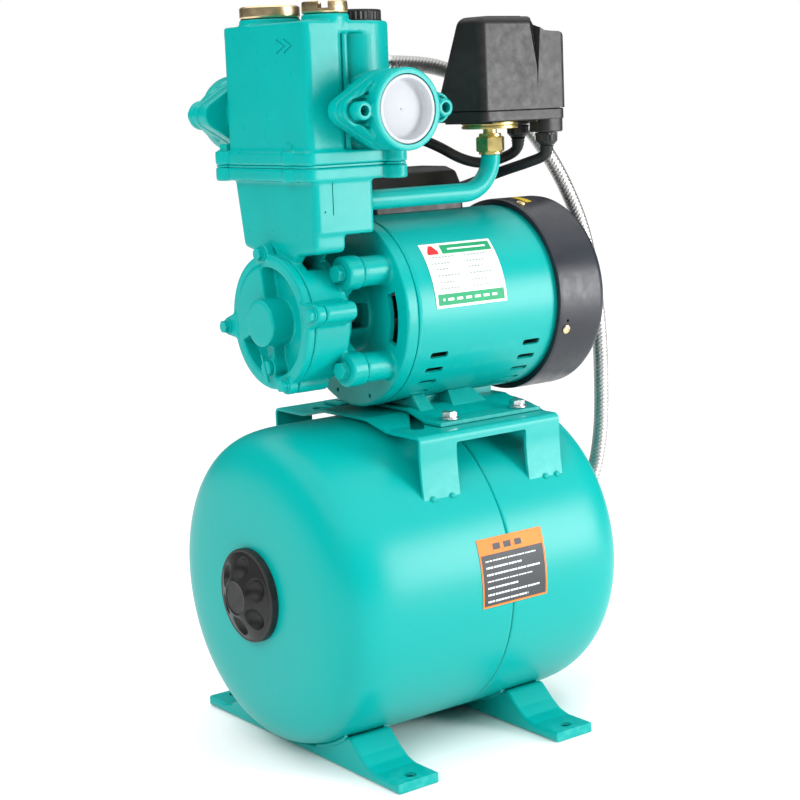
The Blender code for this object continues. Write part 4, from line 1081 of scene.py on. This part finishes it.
def make_casing():
    volute = rod(47, -109.3, -80, SHAFT, "X", 1, 128)
    hub = rod(36, -81, -70.3, SHAFT, "X", 1, 96)
    lugs = [rod(12, -83, -70.3, at, "X", 0.6, 64) for at in STANDOFFS]
    webs = [web_block(-82.2, -70.5, angle) for angle in (38.6, 141.4)]
    ears = [ear(bolt, -109.2, -84) for bolt in COVER_BOLTS]
    neck = rounded([(-50, 412, 0), (-48.7, 360.5, 5), (-28, 358, 6), (-15, 345, 8),
                    (15, 345, 8), (27, 359, 6), (41, 362, 5), (50, 412, 0)], 4)
    neck = prism(neck, "X", -108, -82, 3.0, 5)
    shoulder = prism(rectangle(-107.6, -58, -50.4, 41, 4), "Z", 372, 412, 2.4, 4)
    flange = prism(rectangle(-113, -37, -52, 52, 6), "Z", 409, SEAM_LOW, 0.8)
    bosses = [rod(8, 408.6, SEAM_LOW - 0.1, at, "Z", 0.6) for at in FLANGE_LUGS]
    pipe_boss = rod(9.5, -64, -54, (STEM[1], 393), "X", 1.5)
    casting = cast([volute, hub, *lugs, *webs, *ears, neck, shoulder, flange, *bosses,
                    pipe_boss], 0.9, 4)
    chamber = rod(41.3, -120, -91, SHAFT, "X", 0, 128)
    bolts = [rod(3.4, -90, -60, at, "X", 0, 32) for at in STANDOFFS]
    casting = cut(casting, chamber, *bolts)
    casting = cut(casting, rod(16, -93, -77, SHAFT, "X", 0, 64))
    casting = cut(casting, rod(9, -80, -60, SHAFT, "X", 0, 64))
    casting = cut(casting, slab((-102, -36, 348), (-87, 34, 400), 0, 2))
    hall = slab((-102, -43, 386), (-64, 35.5, 430), 0, 3)
    casting = cut(casting, hall)
    seam = slab((-93.3, -51.5, 386), (-92.4, -49.6, 408), 0, 0.2)
    dot = rod(0.7, -51.5, -49.4, (-99.5, 388.5), "Y", 0, 16)
    present(cut(casting, seam, dot), "pump_casing_cast", "teal_casting", "pump_casing")


def make_cover():
    """The dished cover in front of the impeller, with its hub, rib and drain boss."""
    joint, rim, floor, hub = -109.6, -116.0, -105.6, -124.3
    disc = [(hub, 0), (hub, 16.5, 1.6), (floor, 16.5), (floor, 38.3), (rim, 38.3, 1.2),
            (rim, 47.3, 1.5), (joint, 47.3), (joint, 41), (floor + 3, 41), (floor + 3, 12.5),
            (hub + 4, 12.5), (hub + 4, 0)]
    shapes = [turned(disc, SHAFT, "X", 160, 0.3)]
    sector = arc(SHAFT, 39.9, -24, 80, 24) + arc(SHAFT, 15.5, 80, -24, 12)
    shapes.append(prism(sector, "X", rim - 1.2, floor + 1.3, 1, 3))
    drain = (1.6, AXIS_Z - 32.0)
    shapes.append(rod(7, rim - 0.6, floor + 1.1, drain, "X", 0.8))
    shapes.append(slab((rim + 0.8, -2.6, AXIS_Z - 31), (floor + 1.1, 5.8, AXIS_Z - 14), 1, 1))
    ears = [cut(ear(bolt, rim - 0.8, joint - 0.05), rod(43, -140, -100, SHAFT, "X", 0, 128))
            for bolt in COVER_BOLTS]
    casting = cast(shapes + ears, 0.75, 4)
    hole = rod(4, -130, -100, drain, "X", 0, 32)
    present(cut(casting, hole), "pump_cover_cast", "teal_casting", "pump_cover")

    screw = gather(rod(3.6, -103.5, -117.5, drain, "X", 0.3, 32),
                   turned([(-116.8, 0), (-116.8, 5.6), (-119.6, 5.6, 0.8), (-120.4, 4.6, 1),
                           (-120.4, 0)], drain, "X", 48, 0.4))
    groove = tilted(slab((-121, -9, drain[1] - 0.8), (-119, 12, drain[1] + 0.8), 0), 70, "X",
                    (-120, *drain))
    present(cut(screw, groove), "drain_screw_slotted", "teal_casting", "drain_screw")

    for k, (y, z) in enumerate(COVER_BOLTS):
        at = (y, AXIS_Z + z)
        bolt = gather(
            washer(rim - 0.7, rim - 1.8, 2.4, 5.4, at),
            hexed(8, rim - 1.6, rim - 5.6, at, turn=23 * k),
            rod(2.4, rim - 1.6, joint - 6, at, "X", 0.2, 24))
        present(bolt, f"cover_bolt_{k + 1}", "teal_casting")


def make_bracket_bolts():
    face = -83.3
    for k, at in enumerate(STANDOFFS):
        bolt = gather(rod(3.0, face - 2, -55, at, "X", 0.3, 32),
                      washer(face, face - 0.9, 0, 6.6, at),
                      hexed(11, face - 0.8, face - 5.5, at, turn=13 * k + 5))
        present(bolt, f"bracket_bolt_{k + 1}_head", "teal_casting", f"bracket_bolt_{k + 1}")


def make_gasket():
    """The painted joint between the castings: a thin sheet a little inside their edges."""
    shapes = [prism(rectangle(-112.4, -37.6, -51.4, 51.4, 5.4), "Z", 418.1, 419.7, 0.3, 2)]
    shapes += [rod(7.3, 418.15, 419.65, at, "Z", 0.2) for at in FLANGE_LUGS]
    present(gather(*shapes), "body_gasket_sheet", "teal_casting", "body_gasket")


def chevron(tip_y, z):
    """A V-shaped groove whose tip points towards the outlet."""
    long, high, wide = 10.5, 5.2, 1.1
    outline = [(tip_y, z), (tip_y + long, z + high), (tip_y + long + 0.5, z + high - wide),
               (tip_y + 2 * wide, z), (tip_y + long + 0.5, z - high + wide),
               (tip_y + long, z - high)]
    return prism(outline, "X", -111.8, -110.3, 0, 1)


def port_outline(x, size=27.0):
    return hull([(x - PORT_BOLT, PORT_Z, 9.5), (x, PORT_Z, size),
                 (x + PORT_BOLT, PORT_Z, 9.5)], 64)


def make_valve_box():
    """The upper casting: a priming chamber in front and the valve column behind it."""
    top = 515.0
    shapes = [prism(rectangle(-111, -80, -51, 51, 5), "Z", 426, top, 1.6),
              prism(rectangle(-113, -37, -52, 52, 6), "Z", SEAM_HIGH, 429, 0.8),
              prism(hull([(*COLUMN, 28), (*VALVE_AXIS, 26)]), "Z", 427, 514.8, 1.5),
              slab((-79, -48.6, 427), (-73.5, -26, 507.5), 1.4, 3),
              slab((-84, -32, 427), (-48, 50.5, 507.5), 1, 1),
              prism(hull([(-107, 47, 4), (-107, -47, 4), (-84, 47, 4), (-84, -47, 4),
                          (*COLUMN, 27.6)]), "Z", 507, 515, 1.2),
              rod(21.5, 510, 519.2, LARGE_PLUG, "Z", 0.8),
              rod(16, 510, 519.7, SMALL_PLUG, "Z", 0.8),
              rod(9, -52, -24, (15, 487), "X", 1.2)]
    shapes += [rod(8, SEAM_HIGH + 0.1, 429.6, at, "Z", 0.8) for at in FLANGE_LUGS]
    for x, side, seam, root in ((OUTLET_X, -1, 66.9, 38), (INLET_X, 1, 71.9, 46)):
        shapes.append(prism(port_outline(x), "Y", *sorted((side * (seam - 11), side * seam)),
                            1.0))
        shapes.append(rod(24, *sorted((side * root, side * (seam - 5))), (x, PORT_Z), "Y",
                          1.0))
    casting = cast(shapes, 1.0, 4)
    casting = cut(casting, slab((-105.5, -45.5, 410), (-86, 45.5, 505), 0, 2),
                  rod(20, 436, 530, VALVE_AXIS, "Z", 0), chevron(-28.4, 499.3),
                  chevron(-36.9, 499.3))
    casting = cut(casting, slab((-80.4, -55, 430), (-78.4, -46.6, 506.6), 0, 0.4),
                  rod(12, 410, 440, VALVE_AXIS, "Z", 0),
                  rod(15, 500, 530, LARGE_PLUG, "Z", 0),
                  rod(10, 500, 530, SMALL_PLUG, "Z", 0))
    casting = cut(casting, rod(17, -20, -90, (OUTLET_X, PORT_Z), "Y", 0),
                  rod(17, 30, 90, (INLET_X, PORT_Z), "Y", 0),
                  rod(5, -60, -20, (15, 487), "X", 0, 32))
    present(casting, "valve_box_cast", "teal_casting", "valve_box")
    for k, at in enumerate(FLANGE_LUGS):
        bolt = gather(washer(429.3, 430.3, 0, 6, at, "Z"),
                      hexed(9, 430.2, 434.4, at, "Z", turn=19 * k))
        present(bolt, f"flange_bolt_{k + 1}", "teal_casting")


def make_plugs():
    base = 515.3

    def ribs(angles, height):
        wave = 1 - 0.016 * (np.cos(angles * 40) > 0.2)
        return wave if base + 1 < height < base + 6.4 else np.ones(len(angles))

    cap = [(512, 0), (512, 3.6), (504, 3.6), (504, 7), (510, 7), (510, 19.5), (base, 19.5),
           (base, 24.2, 0.5), (base + 0.9, 24.2), (base + 1.1, 23.9), (base + 6.2, 23.9),
           (base + 6.6, 24.0), (base + 8, 23.6, 0.9), (base + 8, 19, 0.5),
           (base + 7.3, 18.4), (base + 7.3, 0)]
    present(turned(cap, VALVE_AXIS, "Z", 240, 0.2, squeeze=ribs), "valve_column_cap_ribbed",
            "black_plastic", "valve_column_cap", crease=45)

    def knurl(angles, height):
        wave = 1 - 0.012 * (np.cos(angles * 24) > 0.55)
        return wave if 521.5 < height < 526.5 else np.ones(len(angles))

    large = [(503, 0), (503, 14.2), (519.6, 14.2), (519.6, 20.2), (521, 21), (527, 21),
             (528, 19.8, 0.8), (528, 12.6), (524.6, 11.6), (524.6, 0)]
    plug = turned(large, LARGE_PLUG, "Z", 200, 0.5, squeeze=knurl)
    present(plug, "priming_plug_turned", "brass", "priming_plug")
    seal = washer(518.9, 520.8, 15.2, 20.4, LARGE_PLUG, "Z", 120, 0.6)
    present(seal, "priming_plug_seal", "rubber")

    small = [(504, 0), (504, 9.6), (520.1, 9.6), (520.1, 15), (521.2, 15.6), (524.6, 15.6),
             (528, 15.2, 0.8), (528, 9.5), (526.6, 8.5), (526.6, 0)]
    small = turned(small, SMALL_PLUG, "Z", 160, 0.5)
    slot = tilted(slab((SMALL_PLUG[0] - 22, SMALL_PLUG[1] - 3.5, 523.2),
                       (SMALL_PLUG[0] + 22, SMALL_PLUG[1] + 3.5, 535), 0), 50, "Z",
                  (*SMALL_PLUG, 523))
    present(cut(small, slot), "gauge_plug_slotted", "brass", "gauge_plug")


def make_ports():
    """On each side a counter flange with its tubular bolt bosses, and a blanking plug."""
    for name, x, side, seam in (("outlet", OUTLET_X, -1, 67.2), ("inlet", INLET_X, 1, 72.2)):
        def along(*distances):
            return sorted(side * (seam + d) for d in distances)

        shapes = [prism(port_outline(x), "Y", *along(0, 8), 1.2),
                  rod(27.5, *along(6, 21.3), (x, PORT_Z), "Y", 1.0, 128)]
        bores = []
        for way in (-1, 1):
            bolt_x = x + way * PORT_BOLT
            shapes.append(rod(6.2, *along(7, 19), (bolt_x, PORT_Z), "Y", 0.5))
            lip = (arc((bolt_x, PORT_Z), 10.4, 90, 270, 24)
                   + [(bolt_x + 12, PORT_Z - 10.4), (bolt_x + 12, PORT_Z + 10.4)])
            pocket = (arc((bolt_x, PORT_Z), 8.2, 90, 270, 24)
                      + [(bolt_x + 13, PORT_Z - 8.2), (bolt_x + 13, PORT_Z + 8.2)])
            if way > 0:
                lip = [(2 * bolt_x - u, v) for u, v in lip]
                pocket = [(2 * bolt_x - u, v) for u, v in pocket]
            shapes.append(cut(prism(lip, "Y", *along(7.2, 11.0), 0.4, 2),
                              prism(pocket, "Y", *along(5, 12), 0, 1)))
            for up in (-1, 1):
                rib = [(x + way * 22, PORT_Z + up * 20), (x + way * 22, PORT_Z + up * 14),
                       (bolt_x, PORT_Z + up * 9)]
                shapes.append(prism(rib, "Y", *along(7, 13), 0.3, 2))
            bores.append(rod(3.6, *along(4, 25), (bolt_x, PORT_Z), "Y", 0, 40))
        casting = cast(shapes, 0.8, 3)
        casting = cut(casting, rod(17, *along(-5, 7.6), (x, PORT_Z), "Y", 0, 96), *bores)
        casting = cut(casting, rod(23.5, *along(7.4, 30), (x, PORT_Z), "Y", 0, 128))
        present(casting, f"{name}_flange_cast", "teal_casting", f"{name}_flange")
        shape = [(7.5, 0), (7.5, 22.9), (20.9, 22.9, 0.8), (20.9, 20.4, 0.8), (13.5, 19.0, 2),
                 (13.5, 0)]
        plug = turned([(side * (seam + h), r, *rest) for h, r, *rest in shape], (x, PORT_Z),
                      "Y", 128, 0.5)
        nub = turned([(side * (seam + h), r) for h, r in ((13, 0), (13, 0.9), (14.1, 0.6),
                                                          (14.1, 0))], (x, PORT_Z), "Y", 24,
                     0.3)
        present(gather(plug, nub), f"{name}_plug_moulded", "port_plastic",
                f"{name}_port_plug")


# ---------------------------------------------------------------- pressure switch


def make_switch_pipe():
    x, y = STEM
    bend, z = 26.0, 393.0
    route = [(u, z) for u in np.linspace(-53.6, x - bend, 40)]
    route += arc((x - bend, z + bend), bend, -90, 0, 30)[1:]
    route += [(x, 419.1)]
    path = [(u, y, v) for u, v in route]
    pipe = gather(swept(path, 7.0, 64),
                  turned([(-54, 6), (-54, 8.0), (-52, 7.8), (-50.8, 7.0), (-50.8, 6)],
                         (y, z), "X", 64, 0.5))
    present(pipe, "switch_pipe_bent", "teal_paint", "switch_pipe", crease=50)
    nut = gather(hexed(19, 421.2, 432.4, STEM, "Z", both=True, turn=20),
                 washer(419.4, 421.6, 5, 8.4, STEM, "Z", 64, 0.5),
                 turned([(432.2, 0), (432.2, 8.2), (434.6, 8.0), (434.6, 5), (437.7, 5),
                         (437.7, 0)], STEM, "Z", 64, 0.4))
    present(nut, "pipe_nut_hex", "yellow_zinc", "pipe_nut")
    plate = turned([(438, 0), (438, 7), (438.5, 8), (438.5, 17.5), (438, 18.5), (438, 20.6),
                    (440.2, 20.6), (440.2, 19.8), (440.8, 19.8), (440.8, 20.6),
                    (442.9, 20.6), (442.9, 0)], STEM, "Z", 128, 0.5)
    present(plate, "diaphragm_plate_pressed", "yellow_zinc", "diaphragm_plate")


def make_switch():
    """The pressure switch: a tray with its cable lobe, and a tapering cover over it."""
    x0, x1, y0, y1 = 32.5, 114.0, -60.0, -3.0
    tray = prism(rectangle(x0 + 0.6, x1 - 0.6, y0 + 0.6, y1 - 0.6, 7.5, 8), "Z", 443.2,
                 451.1, 1.0)
    lobe = prism(rectangle(91, x1 - 0.8, y0 + 0.8, y0 + 22, 9, 8), "Z", 434, 447, 1.2)
    boss = rod(8.6, 440, 446, LONG_GLAND, "Z", 0.8)
    ribs = [slab((u, y0 + 1.6, 441.8), (u + 1.6, y1 - 2, 444), 0.3) for u in (42, 84)]
    lip = prism(rectangle(x0 + 2.9, x1 - 2.9, y0 + 3.4, y1 - 4, 5, 8), "Z", 449, 453.6, 0.3)
    lip = cut(lip, slab((x0 + 4.4, y0 + 4.9, 440), (x1 - 4.4, y1 - 5.5, 460), 0, 3))
    base = cut(tray, slab((x0 + 3, y0 + 3, 446), (x1 - 3, y1 - 3, 460), 0, 3))
    base = cut(base, rod(5, 440, 450, STEM, "Z", 0, 48))
    present(gather(base, lip, lobe, boss, *ribs), "switch_base_moulded", "black_plastic",
            "switch_base", crease=45)

    outline = [(y0, 436), (y1, 436), (y1, 451), (y0 + 28.6, 517), (y0 + 0.8, 517)]
    cover = softened(prism(outline, "X", x0, x1, 0, 1), 6.0, 8)
    inside = [(y0 + 3, 430), (y1 - 2, 430), (y1 - 3.4, 451), (y0 + 31, 490), (y0 + 3, 490)]
    cover = cut(cover, slab((x0 - 5, y0 - 5, 430), (x1 + 5, y1 + 5, 451.4), 0, 0))
    cover = cut(cover, prism(inside, "X", x0 + 2.5, x1 - 2.5, 0, 1))
    shoulder = [(78, 524), (82, 514), (88, 509.5), (93, 507), (100, 506.4), (106.5, 506.2),
                (109.6, 505.2), (112, 503), (113.4, 500), (114.2, 495)]
    cover = cut(cover, prism(shoulder + [(125, 495), (125, 530), (78, 530)], "Y", -80, 20,
                             0, 1))
    flute = loft([[(72, y0 - 2, 522), (92, y0 - 2, 522), (86, y0 + 6.5, 522)],
                  [(84.4, y0 - 2, 464), (85.6, y0 - 2, 464), (85.1, y0 + 0.1, 464)]])
    cover = cut(cover, flute)
    relief = prism(rectangle(45, 78, y0 + 8, y0 + 24, 2.5), "Z", 516.6, 517.4, 0.4, 2)
    present(gather(cover, relief), "switch_cover_moulded", "black_plastic", "switch_cover",
            crease=40)


make_casing()
make_cover()
make_bracket_bolts()
make_gasket()
make_valve_box()
make_plugs()
make_ports()
make_switch_pipe()
make_switch()

# ---------------------------------------------------------------- pieces kept from the CAD

KEPT = {
    "tank_bladder": "rubber", "tank_air_valve": "brass", "impeller": "brass",
    "check_valve_poppet": "brass", "switch_plunger": "brass", "motor_shaft": "steel",
    "bearing_front": "steel", "bearing_rear": "steel", "seal_rotating_ring": "steel",
    "seal_seat": "ceramic", "stator_core": "lamination", "stator_winding": "copper",
    "rotor_core": "aluminium", "rear_end_shield": "aluminium", "run_capacitor": "port_plastic",
}
for node, look in KEPT.items():
    for material_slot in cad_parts[node].material_slots:
        material_slot.material = MATERIALS[look]

# ---------------------------------------------------------------- floor and light


def make_floor():
    size = 6.0
    mesh = bpy.data.meshes.new("floor")
    mesh.from_pydata([(-size, -size, 0), (size, -size, 0), (size, size, 0),
                      (-size, size, 0)], [], [(0, 1, 2, 3)])
    floor = bpy.data.objects.new("floor", mesh)
    bpy.context.scene.collection.objects.link(floor)
    floor.location.z = -0.0005
    material, nodes, links, shader = principled("floor", (0.9, 0.9, 0.9), 0.7, 0.0)
    place = nodes.new("ShaderNodeTexCoord").outputs["Object"]
    links.new(blend(nodes, links, noise(nodes, links, place, 3.0), (0.95, 0.95, 0.95),
                    (0.97, 0.97, 0.97)), shader.inputs["Base Color"])
    mesh.materials.append(material)


def softbox(name, place, size, power, aim=(0, 0, 270), mirrored_too=True):
    light = bpy.data.lights.new(name, "AREA")
    light.shape = "RECTANGLE"
    light.size, light.size_y = size[0] * MM, size[1] * MM
    light.energy = power
    obj = bpy.data.objects.new(name, light)
    obj.location = placed(place)
    obj.rotation_euler = (Vector(aim) - Vector(place)).to_track_quat("-Z", "Y").to_euler()
    obj.visible_glossy = mirrored_too
    bpy.context.scene.collection.objects.link(obj)


AMBIENT = 0.05


def make_light():
    world = bpy.data.worlds.new("studio")
    bpy.context.scene.world = world
    world.use_nodes = True
    nodes, links = world.node_tree.nodes, world.node_tree.links
    seen = nodes["Background"]
    seen.inputs["Color"].default_value = (1, 1, 1, 1)
    seen.inputs["Strength"].default_value = 1.0
    ambient = nodes.new("ShaderNodeBackground")
    ambient.inputs["Color"].default_value = (0.96, 0.98, 1.0, 1)
    ambient.inputs["Strength"].default_value = AMBIENT
    mix = nodes.new("ShaderNodeMixShader")
    links.new(nodes.new("ShaderNodeLightPath").outputs["Is Camera Ray"], mix.inputs[0])
    links.new(ambient.outputs[0], mix.inputs[1])
    links.new(seen.outputs[0], mix.inputs[2])
    links.new(mix.outputs[0], nodes["World Output"].inputs["Surface"])
    softbox("right", (1050, -1330, 450), (660, 780), 29)
    softbox("left", (-1450, -600, 1000), (1200, 1200), 19, mirrored_too=False)
    overhead = bpy.data.lights.new("overhead", "SUN")
    overhead.energy = 3.5
    overhead.angle = radians(110)
    lamp = bpy.data.objects.new("overhead", overhead)
    bpy.context.scene.collection.objects.link(lamp)
    bpy.context.scene.view_settings.view_transform = "Standard"


make_floor()
make_light()
